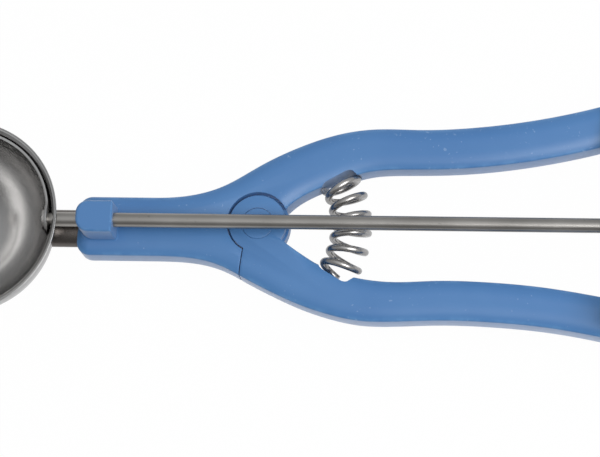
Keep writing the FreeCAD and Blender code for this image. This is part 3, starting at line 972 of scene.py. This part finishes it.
@dataclass
class SoftBlock:
    """A raised block with round corners, a rounded top and a flared foot.

    Attributes:
        low: Lowest corner of its plan.
        high: Highest corner of its plan.
        corners: Corner radii, anticlockwise from the low corner.
        base: Height of its foot.
        top: Height of its top.
        edge: Radius of the top edge.
        foot: Radius of the hollow round at the foot.
    """

    low: Pair
    high: Pair
    corners: tuple[float, float, float, float]
    base: float
    top: float
    edge: float
    foot: float

    def outline(self, grow: float) -> Line:
        """The plan outline, grown outward by an amount."""
        (x0, y0), (x1, y1) = self.low, self.high
        spots = ((x0, y0, 1, 1, 180), (x1, y0, -1, 1, 270), (x1, y1, -1, -1, 0), (x0, y1, 1, -1, 90))
        points = []
        for radius, (x, y, sx, sy, angle) in zip(self.corners, spots):
            centre = Vector((x + sx * radius, y + sy * radius))
            for i in range(9):
                points.append(centre + heading(angle + 90 * i / 8) * max(radius + grow, 0.02))
        return points

    def draw(self, sketch: Sketch, moved: Matrix | None = None) -> None:
        """Add the block to a sketch.

        Args:
            sketch: Where to draw it.
            moved: A turn and shift in plan.
        """
        sunk, flat, rub_and_highlight = 1.5, 0.3, 0.8
        levels = [(self.foot, self.base - sunk)]
        levels += [(out, self.base + up) for out, up in quarter_round(self.foot, 6)]
        levels += [(-up, self.top - out) for out, up in quarter_round(self.edge, 6)]
        levels.append((-self.edge - flat, self.top))
        rings = []
        for grow, height in levels:
            # The round of the top edge is paled, as wear and as a painted edge highlight.
            wear_and_highlight = rub_and_highlight if -0.8 * self.edge < grow < -0.05 * self.edge else 0.0
            spots = [Vector((p.x, p.y, height)) for p in self.outline(grow)]
            rings.append([sketch.add(moved @ s if moved else s, wear_and_highlight) for s in spots])
        sketch.skin(rings, True)
        sketch.faces.append(rings[-1])
        sketch.faces.append(rings[0][::-1])


@dataclass
class HandlePair:
    """The two moulded handles, their pivot caps and the seats for spring and rivets.

    Attributes:
        shop: Frame and finishes.
        half_width: Half the shank's width.
        front: The shank's front end.
        corner: Radius of the shank's front corners.
        tail_x: Centre of the round handle ends along the tool.
        tails: Height in plan and direction of the upper and the lower end.
        grip: Width of a grip.
        upper_crotch: Where the upper grip's inner edge meets the pivot's recess.
        lower_crotch: Where the lower grip's inner edge meets the disc.
        stop_foot: The outer end of the stop face.
        stop_way: Direction of the outer edge there.
        stop_angle: Angle of the stop face's inner end, about the recess.
        pocket_r: Radius of the spring's pockets.
        pocket_round: Radius of the round at their floor.
        pockets: Angle, depth and way of the upper and the lower pocket.
        spring_arc: Radius of the spring's arc about the pivot.
        cap_r: Radius of the caps.
        cap_thick: Their thickness.
        cap_gap: Gap round them.
        feet: Place in plan and direction of the riveted feet on the upper and lower handle.
        rivets: Where the rivets stand along each foot.
        sink_r: Radius of the sinks for the rivets' ends.
        sink_depth: Their depth.
        fork_r: Radius of the slot in the moving handle's disc.
        fork: Lowest and highest face of the slot.
        tongue: Lowest and highest face of the fixed handle's disc in it.
        bevel: Width of the broken edges.
    """

    shop: Workshop
    half_width: float = 8.85
    front: float = -7.0
    corner: float = 4.0
    tail_x: float = 165.0
    tails: tuple[Pair, Pair] = ((37.3, 16.0), (-28.9, -12.5))
    grip: float = 12.0
    upper_crotch: Pair = (54.9, 6.2)
    lower_crotch: Pair = (54.1, -4.1)
    stop_foot: Pair = (41.4, -14.2)
    stop_way: Pair = (9.0, -5.0)
    stop_angle: float = 242.5
    pocket_r: float = 6.5
    pocket_round: float = 1.2
    pockets: tuple[Triple, Triple] = ((29.5, 1.8, 1.0), (-31.5, 1.2, -1.0))
    spring_arc: float = 27.0
    cap_r: float = 4.65
    cap_thick: float = 1.6
    cap_gap: float = 0.06
    feet: tuple[Triple, Triple] = ((154.8, 33.9, 14.5), (156.2, -27.2, -10.8))
    rivets: tuple[Pair, Pair] = ((-0.6, 5.2), (0.4, 5.6))
    sink_r: float = 2.7
    sink_depth: float = 1.2
    fork_r: float = 9.75
    fork: Pair = (3.0, 7.0)
    tongue: Pair = (3.2, 6.8)
    bevel: float = 0.16

    def tail(self, upper: bool) -> tuple[Vector, Vector, float]:
        """Centre, direction and angle of a handle's round end."""
        y, angle = self.tails[0 if upper else 1]
        return Vector((self.tail_x, y)), heading(angle), angle

    def lower_stop(self) -> Vector:
        """The outer end of the moving handle's stop face, a gap away from the fixed one's."""
        return Vector(self.stop_foot) + Vector(self.stop_way).normalized() * PLAN.stop_gap

    def upper_lines(self) -> Line:
        """The fixed handle's crowned outline, from the crotch round to the stop."""
        centre, ahead, angle = self.tail(True)
        half = self.grip / 2
        side = left_of(ahead)
        inner = flowing_line(
            [self.upper_crotch, (61.5, 11.0), (70, 14.6), (79, 17.4), (88, 18.1), (102, 18.4),
             (116, 19.6), (130, 21.8), (145, 25.2), tuple(centre - side * half)],
            Vector((3, 3.3)), ahead)
        outer = flowing_line(
            [tuple(centre + side * half), (143, 37.1), (125, 33.2), (108, 31.0), (93, 30.3),
             (79, 30.3), (69, 28.65), (57.8, 24.7), (46.2, 18.8), (35.5, 12.5),
             (16, self.half_width)], -ahead, Vector((-1, 0)))
        far = self.front + self.corner
        inner_y = self.half_width - self.corner
        stub = flowing_line([(15, -self.half_width), (34.5, -11.0), self.stop_foot],
                            Vector((1, 0)), Vector(self.stop_way))
        return chain(
            inner, turn(centre, half, angle - 90, angle + 90), outer,
            straight(Vector((16, self.half_width)), Vector((far, self.half_width))),
            turn(Vector((far, inner_y)), self.corner, 90, 180),
            straight(Vector((self.front, inner_y)), Vector((self.front, -inner_y))),
            turn(Vector((far, -inner_y)), self.corner, 180, 270),
            straight(Vector((far, -self.half_width)), Vector((15, -self.half_width))), stub)

    def upper_cut(self) -> Line:
        """The square-cut outline of the fixed handle: the stop and the pivot's recess."""
        centre = Vector(PLAN.pivot) + Vector((0.0, PLAN.recess_up))
        crotch = Vector(self.upper_crotch)
        angle = bearing(crotch - centre)
        return chain(straight(Vector(self.stop_foot), PLAN.recess(self.stop_angle), 0.8),
                     turn(centre, PLAN.recess_r, self.stop_angle, angle, 0.35),
                     straight(PLAN.recess(angle), crotch, 0.2))

    def lower_lines(self) -> Line:
        """The moving handle's crowned outline, from the stop round to the crotch."""
        centre, ahead, angle = self.tail(False)
        half = self.grip / 2
        side = left_of(ahead)
        begin = self.lower_stop()
        outer = flowing_line(
            [tuple(begin), (50, -18.6), (59, -22.6), (67.9, -25.5), (77, -27.25), (86, -27.4),
             (100, -26.8), (115, -27.1), (130, -28.3), (146, -30.9), tuple(centre - side * half)],
            Vector(self.stop_way), ahead)
        inner = flowing_line(
            [tuple(centre + side * half), (146, -19.1), (130, -16.6), (112, -15.2), (98, -15.1),
             (87, -15.6), (78, -14.9), (70, -13.0), (61.5, -9.0), self.lower_crotch],
            -ahead, Vector((-4.5, 3.6)))
        return chain(outer, turn(centre, half, angle - 90, angle + 90), inner)

    def lower_cut(self) -> Line:
        """The square-cut outline of the moving handle: its disc and its stop face."""
        crotch = Vector(self.lower_crotch)
        angle = bearing(crotch - Vector(PLAN.pivot))
        foot = self.lower_stop()
        stop_top = PLAN.recess(self.stop_angle) + Vector((PLAN.stop_gap, 0.25))
        edge = PLAN.around_pivot(PLAN.disc_r, self.stop_angle - 1.5)
        return chain(straight(crotch, PLAN.around_pivot(PLAN.disc_r, angle), 0.2),
                     turn(Vector(PLAN.pivot), PLAN.disc_r, angle, self.stop_angle - 1.5, 0.35),
                     straight(edge, stop_top, 0.3), straight(stop_top, foot, 0.8))

    def pocket(self, upper: bool) -> Object:
        """The cutter for the round seat of an end of the spring, with a rounded floor."""
        degrees, depth, way = self.pockets[0 if upper else 1]
        proud = 6
        tangent = heading(degrees + 90) * way
        base = PLAN.around_pivot(self.spring_arc, degrees) - tangent * proud
        profile: Section = [(0.0, 0.0), (0.0, self.pocket_r)]
        profile += [(proud + depth - out, self.pocket_r - up)
                    for out, up in quarter_round(self.pocket_round, 8)]
        profile.append((proud + depth, 0.0))
        return turned("cutter", profile, (base.x, base.y, PLAN.mid), Vector((*tangent, 0.0)), 96)

    def rivet_sinks(self, upper: bool) -> list[Object]:
        """The cutters for the sinks of the rivets' ends, in the back of a handle."""
        side = 0 if upper else 1
        x, y, angle = self.feet[side]
        proud = 0.5
        tools = []
        for along in self.rivets[side]:
            spot = Vector((x, y)) + heading(angle) * along
            profile = rod_profile(proud + self.sink_depth, self.sink_r)
            tools.append(turned("cutter", profile, (spot.x, spot.y, -proud), UP, 32))
        return tools

    @staticmethod
    def disc_tool(radius: float, low: float, high: float) -> Object:
        """A round cutter about the pivot."""
        return turned("cutter", rod_profile(high - low, radius), (*PLAN.pivot, low), UP, 128)

    def pad(self, sketch: Sketch, upper: bool) -> None:
        """Draw the raised seat for a riveted foot."""
        x, y, angle = self.feet[0 if upper else 1]
        block = SoftBlock(low=(-8.5, -4.7), high=(8.5, 4.7), corners=(1.6, 1.6, 1.6, 1.6),
                          base=9.4, top=10.5, edge=0.25, foot=0.3)
        block.draw(sketch, Matrix.Translation((x, y, 0)) @ Matrix.Rotation(math.radians(angle), 4, "Z"))

    def fixed(self) -> None:
        """Build the shank with its boss and the upper grip."""
        obj = CrownedMould(self.upper_lines(), self.upper_cut()).sketch().put("upper_handle_moulding")
        soften(obj, self.bevel)
        carve(obj, [self.pocket(True), *self.rivet_sinks(True)])
        extra = Sketch()
        boss = SoftBlock(low=(-5.7, -4.45), high=(5.1, 4.95), corners=(4.0, 0.5, 0.5, 3.5),
                         base=9.9, top=19.5, edge=0.9, foot=0.7)
        boss.draw(extra)
        self.pad(extra, True)
        low, high = self.tongue
        middle = Vector((PLAN.pivot[0], PLAN.pivot[1] + PLAN.recess_up, 0))
        extra.lathe([(low, 0.0), (low, PLAN.recess_r), (high, PLAN.recess_r), (high, 0.0)],
                    middle, UP, 128)
        self.join(obj, extra.put("extra"))
        self.shop.finish_piece(obj, Slot.PLASTIC, Body.FRAME, "fixed_handle")

    def moving(self) -> None:
        """Build the lower grip with its forked disc."""
        mould = CrownedMould(self.lower_lines(), self.lower_cut(), run_out=12.0)
        obj = mould.sketch().put("lower_handle_moulding")
        soften(obj, self.bevel)
        seat_r, proud = self.cap_r + self.cap_gap, 1.0
        carve(obj, [self.disc_tool(self.fork_r, *self.fork),
                    self.disc_tool(seat_r, PLAN.thick - self.cap_thick, PLAN.thick + proud),
                    self.disc_tool(seat_r, -proud, self.cap_thick),
                    self.pocket(False), *self.rivet_sinks(False)])
        extra = Sketch()
        self.pad(extra, False)
        self.join(obj, extra.put("extra"))
        self.shop.finish_piece(obj, Slot.PLASTIC, Body.LEVER, "moving_handle")

    @staticmethod
    def join(obj: Object, other: Object) -> None:
        """Merge another object's mesh into a piece."""
        work = bmesh.new()
        work.from_mesh(obj.data)
        work.from_mesh(other.data)
        work.to_mesh(obj.data)
        work.free()
        bpy.data.objects.remove(other)

    def cap(self, name: str, node: str, low: float, way: int) -> None:
        """Build a flush cap over the pivot, dished a little in its middle.

        Args:
            name: Name of the piece.
            node: The CAD node it replaces.
            low: Height of its inner face.
            way: 1 for a cap that faces up, -1 for one that faces down.
        """
        rim, dish, dish_r = 0.3, 0.01, 1.2
        face = self.cap_thick - 2 * dish
        profile: Section = [(0.0, 0.0), (0.0, self.cap_r)]
        profile += [(self.cap_thick - out - dish, self.cap_r - up)
                    for out, up in quarter_round(rim, 6)]
        profile += [(face, dish_r), (face, 0.0)]
        obj = turned(name, profile, (*PLAN.pivot, low), UP * way, 96)
        self.shop.finish_piece(obj, Slot.PLASTIC, Body.LEVER, node)

    def build(self) -> None:
        """Build both handles and the pivot."""
        self.fixed()
        self.moving()
        self.cap("front_cap", "front_pivot_cap", PLAN.thick - self.cap_thick, 1)
        self.cap("back_cap", "rear_pivot_cap", self.cap_thick, -1)
        self.shop.keep_node("pivot_pin", Slot.SHAFT)


@dataclass
class ScoopBowl:
    """The bowl, its stem and the rivet opposite.

    Attributes:
        shop: Frame and finishes.
        inner: Inside radius.
        sheet: Thickness of the sheet.
        rim: Height of the rim over the shaft's axis.
        flare: How far the lip leans out.
        foot: Degrees below the shaft's axis at which the lip starts.
        edge: Thickness of the lip's edge.
        bend: Distance under the rim at which the lip bends outward.
        flat: Distance under the rim from which it flares more flatly.
    """

    shop: Workshop
    inner: float = 27.2
    sheet: float = 0.7
    rim: float = 2.6
    flare: float = 1.1
    foot: float = 4.0
    edge: float = 0.4
    bend: float = 1.1
    flat: float = 0.45

    def wall(self, radius: float, lip_radius: float) -> Line:
        """One face of the wall, from the bottom up to the lip, as radius and height.

        Args:
            radius: Radius of the ball.
            lip_radius: Radius at the rim.

        Returns:
            Points up the wall.
        """
        foot = math.radians(self.foot)
        steps = 60
        ball = []
        for i in range(steps + 1):
            angle = math.pi / 2 + (foot - math.pi / 2) * i / steps
            ball.append(Vector((radius * math.cos(angle), -radius * math.sin(angle))))
        lean = 0.1
        lip = flowing_line([tuple(ball[-1]), (radius, 0.3), (radius + lean, self.rim - self.bend),
                            ((radius + lip_radius) / 2 + lean, self.rim - self.flat),
                            (lip_radius, self.rim)],
                           Vector((math.sin(foot), math.cos(foot))), Vector((0.9, 0.3)), 0.3)
        return ball + lip[1:]

    def bowl(self) -> None:
        """Turn the bowl's section round its own axis."""
        half = self.edge / 2
        outer_lip = self.inner + self.sheet + self.flare
        outside = self.wall(self.inner + self.sheet, outer_lip)
        inside = self.wall(self.inner, outer_lip - self.edge)
        middle = (outside[-1] + inside[-1]) / 2 - Vector((0.0, half))
        round_edge = [middle + half * heading(180 * i / 8) for i in range(9)]
        kept_out = [p for p in outside if p.y < middle.y]
        kept_in = [p for p in reversed(inside) if p.y < middle.y]
        profile: Section = [(p.y, max(p.x, 0.0)) for p in kept_out + round_edge + kept_in]
        obj = turned("bowl_shell", profile, (PLAN.bowl_x, 0, PLAN.shaft_z), UP, 192)
        self.shop.finish_piece(obj, Slot.BOWL, Body.FRAME, "bowl")

    def build(self) -> None:
        """Build the bowl and dress what holds it."""
        self.bowl()
        self.shop.keep_node("bowl_stem", Slot.STEM)
        self.shop.keep_node("far_pivot_rivet", Slot.POLISHED)


@dataclass
class BentSpring:
    """The coil spring that follows an arc about the pivot.

    Attributes:
        shop: Frame and finishes.
        arc: Radius of the arc.
        coil: Mean radius of the coils.
        wire: Radius of the wire.
        pitch: Degrees of arc to a turn.
        first: Angle of the first front crossing.
        turns: Turns between the first and the last front crossing.
        top_lead: Turns above the first crossing.
        bottom_lead: Turns below the last crossing.
        close: Share of the pitch that is left in the top lead.
        steps: Points along the wire.
        sides: Points round it.
        held: Degrees above the first crossing and past the lower end at which bodies would hold it; not
            used.
    """

    shop: Workshop
    arc: float = 27.0
    coil: float = 5.1
    wire: float = 1.05
    pitch: float = 10.4
    first: float = 26.2
    turns: float = 5.0
    top_lead: float = 0.75
    bottom_lead: float = 0.5
    close: float = 0.64
    steps: int = 620
    sides: int = 20
    held: Pair = (6.0, 1.0)

    def tree(self) -> Tree:
        """The node tree that winds the wire along the arc."""
        tree = bpy.data.node_groups.new("wind_spring", "GeometryNodeTree")
        sizes = {"Arc": self.arc * MM, "Coil": self.coil * MM, "Wire": self.wire * MM,
                 "Pitch": math.radians(self.pitch), "First": math.radians(self.first),
                 "Turns": self.turns, "Top Lead": self.top_lead,
                 "Bottom Lead": self.bottom_lead, "Close": self.close}
        for label, value in sizes.items():
            socket = tree.interface.new_socket(label, in_out="INPUT", socket_type="NodeSocketFloat")
            socket.default_value = value
        tree.interface.new_socket("Steel", in_out="INPUT", socket_type="NodeSocketMaterial")
        tree.interface.new_socket("Geometry", in_out="OUTPUT", socket_type="NodeSocketGeometry")
        wire = Wiring(tree)
        given = wire.given()
        line = wire.node("GeometryNodeCurvePrimitiveLine")
        fine = wire.node("GeometryNodeResampleCurve",
                         {"Curve": line.outputs["Curve"], "Count": self.steps})
        share = wire.node("GeometryNodeSplineParameter").outputs["Factor"]
        leads = wire.math("ADD", given["Top Lead"], given["Bottom Lead"])
        whole = wire.math("ADD", leads, given["Turns"])
        count = wire.math("SUBTRACT", wire.math("MULTIPLY", share, whole), given["Top Lead"])
        above = wire.math("MINIMUM", count, 0.0)
        below = wire.math("MAXIMUM", count, 0.0)
        travelled = wire.math("MULTIPLY_ADD", above, given["Close"], below)
        gone = wire.math("MULTIPLY", travelled, given["Pitch"])
        along = wire.math("SUBTRACT", given["First"], gone)
        ring = wire.math("MULTIPLY_ADD", count, math.tau, math.pi / 2)
        reach = wire.math("MULTIPLY_ADD", wire.math("COSINE", ring), given["Coil"], given["Arc"])
        spot = wire.node("ShaderNodeCombineXYZ")
        parts = (("COSINE", along, reach, PLAN.pivot[0]), ("SINE", along, reach, PLAN.pivot[1]),
                 ("SINE", ring, given["Coil"], PLAN.mid))
        for axis, (wave, angle, radius, centre) in enumerate(parts):
            part = wire.math("MULTIPLY_ADD", wire.math(wave, angle), radius, centre * MM)
            wire.fill(spot, {axis: part})
        moved = wire.node("GeometryNodeSetPosition", {"Geometry": fine.outputs["Curve"],
                                                      "Position": spot.outputs[0]})
        circle = wire.node("GeometryNodeCurvePrimitiveCircle",
                           {"Resolution": self.sides, "Radius": given["Wire"]})
        swept = wire.node("GeometryNodeCurveToMesh", {"Curve": moved.outputs["Geometry"],
                                                      "Profile Curve": circle.outputs["Curve"],
                                                      "Fill Caps": True})
        real = wire.node("GeometryNodeRealizeInstances", {"Geometry": swept.outputs["Mesh"]})
        dressed = wire.node("GeometryNodeSetMaterial", {"Geometry": real.outputs["Geometry"],
                                                        "Material": given["Steel"]})
        wire.node("NodeGroupOutput", {"Geometry": dressed.outputs["Geometry"]})
        return tree

    def build(self) -> None:
        """Wind the spring between the handles."""
        obj = place("bent_coil_spring", bpy.data.meshes.new("bent_coil_spring"))
        tree = self.tree()
        wound = obj.modifiers.new("wind", "NODES")
        wound.node_group = tree
        steel = next(s for s in tree.interface.items_tree if s.name == "Steel")
        wound[steel.identifier] = self.shop.finishes.by_slot[Slot.POLISHED]
        settle(obj)
        weld(obj.data)
        shade(obj)
        self.shop.finishes.dress(obj, Slot.POLISHED)
        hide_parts("handle_spring")
        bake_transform(obj)
        LOG.info("%s: %d faces between the handles", obj.name, len(obj.data.polygons))


@dataclass
class ScraperDrive:
    """The long shaft, the blade in the bowl and the gear at the far end.

    Attributes:
        shop: Frame and finishes.
        shaft_start: The shaft's end inside the bowl.
        shaft_end: Its far end.
        nose: Length of the eased end of the shaft.
        sweep_r: Radius of the sphere that the blade's outer face sweeps.
        blade_thick: Thickness of the blade.
        blade_half: Half the width of its band.
        eye_r: Radius of the eye at each end.
        rest: Angle of the band at rest, about the shaft.
        far_pin_r: Radius of the pin in the far eye.
        far_hole: Where the hole for it starts, from the bowl's centre, and its length.
        bevel: Width of the blade's broken edges.
    """

    shop: Workshop
    shaft_start: float = -15.95
    shaft_end: float = 163.5
    nose: float = 0.5
    sweep_r: float = 26.88
    blade_thick: float = 0.7
    blade_half: float = 3.5
    eye_r: float = 4.8
    rest: float = -5.0
    far_pin_r: float = 1.68
    far_hole: Pair = (-33.0, 12.0)
    bevel: float = 0.16

    def blade_width(self, along: float) -> float:
        """Half the blade's width at an angle from the shaft, as an angle from its middle line."""
        eye = self.eye_r / self.sweep_r
        end = min(along, math.pi - along)
        round_part = math.sqrt(max(eye ** 2 - end ** 2, 0.0))
        if end < 0:
            return round_part
        band = self.blade_half / self.sweep_r
        return (round_part ** 8 + band ** 8) ** 0.125

    def stations(self) -> list[float]:
        """Angles from the shaft at which the blade is drawn, closer together at the eyes."""
        eye = self.eye_r / self.sweep_r
        neck = 1.3
        ends = [-eye * math.cos(math.pi / 2 * i / 10) for i in range(10)]
        ends += [eye * neck * i / 14 for i in range(14)]
        middle = [eye * neck + (math.pi - eye * 2 * neck) * i / 70 for i in range(71)]
        return ends + middle + [math.pi - a for a in reversed(ends)]

    def blade(self) -> None:
        """Bend the scraper's band to the bowl, with a round eye at each end."""
        tilt = Matrix.Rotation(math.radians(self.rest), 3, "X")
        centre = Vector((PLAN.bowl_x, 0, PLAN.shaft_z))
        sketch = Sketch()
        rings = []
        for along in self.stations():
            half = self.blade_width(along)
            ring = []
            for radius, way in ((self.sweep_r, 1), (self.sweep_r - self.blade_thick, -1)):
                for i in range(13):
                    off = half * way * (i / 6 - 1)
                    spot = Vector((math.cos(off) * math.cos(along), math.cos(off) * math.sin(along),
                                   math.sin(off)))
                    ring.append(sketch.add(centre + tilt @ spot * radius))
            rings.append(ring)
        sketch.skin(rings, True)
        obj = sketch.put("scraper_band")
        start, length = self.far_hole
        carve(obj, [turned("cutter", rod_profile(length, self.far_pin_r),
                           (PLAN.bowl_x + start, 0, PLAN.shaft_z), ALONG, 48)])
        soften(obj, self.bevel, 45.0)
        self.shop.finish_piece(obj, Slot.BOWL, Body.SCRAPER, "scraper_blade")

    def shaft(self) -> None:
        """Turn the long shaft, with both ends eased."""
        length, radius, steps = self.shaft_end - self.shaft_start, PLAN.shaft_r, 60
        plain = length - 2 * self.nose
        end = [(0.0, radius - 0.5), (0.15, radius - 0.2)]
        profile = [(0.0, 0.0), *end, (self.nose, radius)]
        profile += [(self.nose + plain * i / steps, radius) for i in range(1, steps + 1)]
        profile += [*((length - along, r) for along, r in reversed(end)), (length, 0.0)]
        obj = turned("long_shaft", profile, (self.shaft_start, 0, PLAN.shaft_z), ALONG, 64)
        self.shop.finish_piece(obj, Slot.SHAFT, Body.SCRAPER, "scraper_shaft")

    def build(self) -> None:
        """Build the shaft and the blade, and dress what drives and holds them."""
        self.shaft()
        self.blade()
        kept = {"blade_rivet": Slot.POLISHED, "pinion": Slot.DRIVE, "pinion_pin": Slot.SHAFT,
                "drive_rack": Slot.DRIVE, "rack_rivets": Slot.POLISHED, "rear_bracket": Slot.DRIVE,
                "bracket_rivets": Slot.POLISHED, "rear_bush": Slot.BRASS,
                "thrust_washer": Slot.SHAFT, "shaft_clip": Slot.SHAFT}
        for node, slot in kept.items():
            self.shop.keep_node(node, slot)


@dataclass
class Softbox:
    """One large soft lamp.

    Attributes:
        name: Its name.
        spot: Where it hangs, in millimetres.
        aim: What it points at.
        width: Its width.
        height: Its height.
        power: Its power in watts.
    """

    name: str
    spot: Triple
    aim: Triple
    width: float
    height: float
    power: float

    def hang(self) -> None:
        """Put the lamp up."""
        lamp = bpy.data.lights.new(self.name, "AREA")
        lamp.shape = "RECTANGLE"
        lamp.size = self.width * MM
        lamp.size_y = self.height * MM
        lamp.energy = self.power
        obj = bpy.data.objects.new(self.name, lamp)
        bpy.context.scene.collection.objects.link(obj)
        obj.location = Vector(self.spot) * MM
        way = Vector(self.aim) - Vector(self.spot)
        obj.rotation_euler = way.to_track_quat("-Z", "Y").to_euler()


@dataclass
class Studio:
    """The pale floor, the soft light and the camera.

    Attributes:
        floor_z: Height of the floor under the bowl.
        floor_half: Half the floor's size.
        eye: Where the camera stands.
        right: The image's right in the tool's frame.
        up: The image's up.
        back: The direction from the scene to the camera.
        lens: Focal length for the sensor.
        sensor: Width of the sensor.
        lamps: The lamps.
        room: Strength of the surround.
        dark_side: Its strength towards the bowl's end.
        near_side: Its share towards the viewer's side.
        sky: How much stronger it is straight above.
        room_mirror: Share of the white surround that glossy rays see.
        floor_mirror: That of the white floor, near the tool and far from it.
        floor_reach: How far near and far are from the middle.
        floor_white: Share of the floor's own white where it is seen whole.
    """

    floor_z: float = -12.4
    floor_half: float = 3000.0
    eye: Triple = (139.248, -177.343, 679.774)
    right: Triple = (0.99329, 0.041242, -0.108048)
    up: Triple = (-0.012201, 0.96641, 0.256715)
    back: Triple = (0.115006, -0.253674, 0.960429)
    lens: float = 144.0
    sensor: float = 36.0
    lamps: tuple[Softbox, ...] = (
        Softbox("right_box", (400, -150, 600), (50, 0, 0), 560, 430, 3.3),
    )
    room: float = 0.5
    dark_side: float = 0.3
    near_side: float = 0.1
    sky: float = 1.9
    room_mirror: float = 0.25
    floor_mirror: Pair = (0.6, 0.3)
    floor_reach: Pair = (200.0, 500.0)
    floor_white: float = 0.985

    def camera(self) -> None:
        """Stand the camera where the picture was taken from."""
        data = bpy.data.cameras.new("camera")
        data.lens = self.lens
        data.sensor_width = self.sensor
        data.clip_start = 0.01
        data.clip_end = 20.0
        obj = bpy.data.objects.new("camera", data)
        bpy.context.scene.collection.objects.link(obj)
        basis = Matrix((self.right, self.up, self.back)).transposed().to_4x4()
        obj.matrix_world = Matrix.Translation(Vector(self.eye) * MM) @ basis
        bpy.context.scene.camera = obj

    @staticmethod
    def seen_white(wire: Wiring, mirror: object) -> Socket:
        """How much of the white background a ray sees.

        Args:
            wire: The wiring of the floor's material or the world.
            mirror: The share that a glossy ray sees, as a number or a socket.

        Returns:
            1 for camera and transmission rays, and the share for glossy ones.
        """
        path = wire.node("ShaderNodeLightPath")
        mirrored = wire.math("MULTIPLY", path.outputs["Is Glossy Ray"], mirror)
        seen = wire.math("MAXIMUM", path.outputs["Is Camera Ray"], mirrored)
        return wire.math("MAXIMUM", seen, path.outputs["Is Transmission Ray"])

    def floor(self) -> None:
        """Lay the floor: white to the eye, with the tool's soft shadow kept."""
        size, z = self.floor_half * MM, self.floor_z * MM
        mesh = bpy.data.meshes.new("floor")
        mesh.from_pydata([(-size, -size, z), (size, -size, z), (size, size, z), (-size, size, z)],
                         [], [(0, 1, 2, 3)])
        obj = place("floor", mesh)
        material = bpy.data.materials.new("pale_floor")
        material.use_nodes = True
        wire = Wiring(material.node_tree)
        shader = material.node_tree.nodes["Principled BSDF"]
        wire.fill(shader, {"Base Color": (0.82, 0.82, 0.82, 1.0), "Roughness": 0.9})
        white = wire.node("ShaderNodeEmission", {"Strength": 1.0})
        away = wire.node("ShaderNodeVectorMath", operation="LENGTH")
        wire.fill(away, {0: wire.node("ShaderNodeTexCoord").outputs["Object"]})
        near, far = self.floor_reach
        share = wire.span(away.outputs["Value"], near * MM, far * MM, *self.floor_mirror)
        seen = wire.math("MULTIPLY", self.seen_white(wire, share), self.floor_white)
        mixed = wire.node("ShaderNodeMixShader", {0: seen, 1: shader.outputs[0], 2: white.outputs[0]})
        wire.fill(material.node_tree.nodes["Material Output"], {"Surface": mixed.outputs[0]})
        mesh.materials.append(material)

    def world(self) -> None:
        """Light everything from a pale surround that looks white."""
        world = bpy.data.worlds.new("studio")
        world.use_nodes = True
        wire = Wiring(world.node_tree)
        way = wire.node("ShaderNodeSeparateXYZ",
                        {0: wire.node("ShaderNodeTexCoord").outputs["Generated"]})
        left = wire.span(way.outputs[0], -0.75, -0.25, self.dark_side, self.room)
        near = wire.span(way.outputs[1], -0.8, -0.35, self.near_side)
        top = wire.span(way.outputs[2], 0.7, 0.97, 1.0, self.sky)
        strength = wire.math("MULTIPLY", wire.math("MULTIPLY", left, near), top)
        room = world.node_tree.nodes["Background"]
        wire.fill(room, {"Color": (0.94, 0.97, 1.0, 1.0), "Strength": strength})
        white = wire.node("ShaderNodeBackground", {"Color": (1.0, 1.0, 1.0, 1.0), "Strength": 1.0})
        mixed = wire.node("ShaderNodeMixShader", {0: self.seen_white(wire, self.room_mirror),
                                                  1: room.outputs[0], 2: white.outputs[0]})
        wire.fill(world.node_tree.nodes["World Output"], {"Surface": mixed.outputs[0]})
        bpy.context.scene.world = world

    def build(self) -> None:
        """Set up floor, light and camera."""
        self.floor()
        self.world()
        for lamp in self.lamps:
            lamp.hang()
        self.camera()
        bpy.context.scene.view_settings.view_transform = "Standard"
        LOG.info("studio: floor, %d lamps and camera", len(self.lamps))


def main() -> None:
    """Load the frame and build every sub-assembly in order."""
    logging.basicConfig(level=logging.INFO, format="%(name)s %(message)s")
    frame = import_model()
    shop = Workshop(frame, Finishes())
    HandlePair(shop).build()
    ScoopBowl(shop).build()
    BentSpring(shop).build()
    ScraperDrive(shop).build()
    Studio().build()


if __name__ == "__main__":
    main()
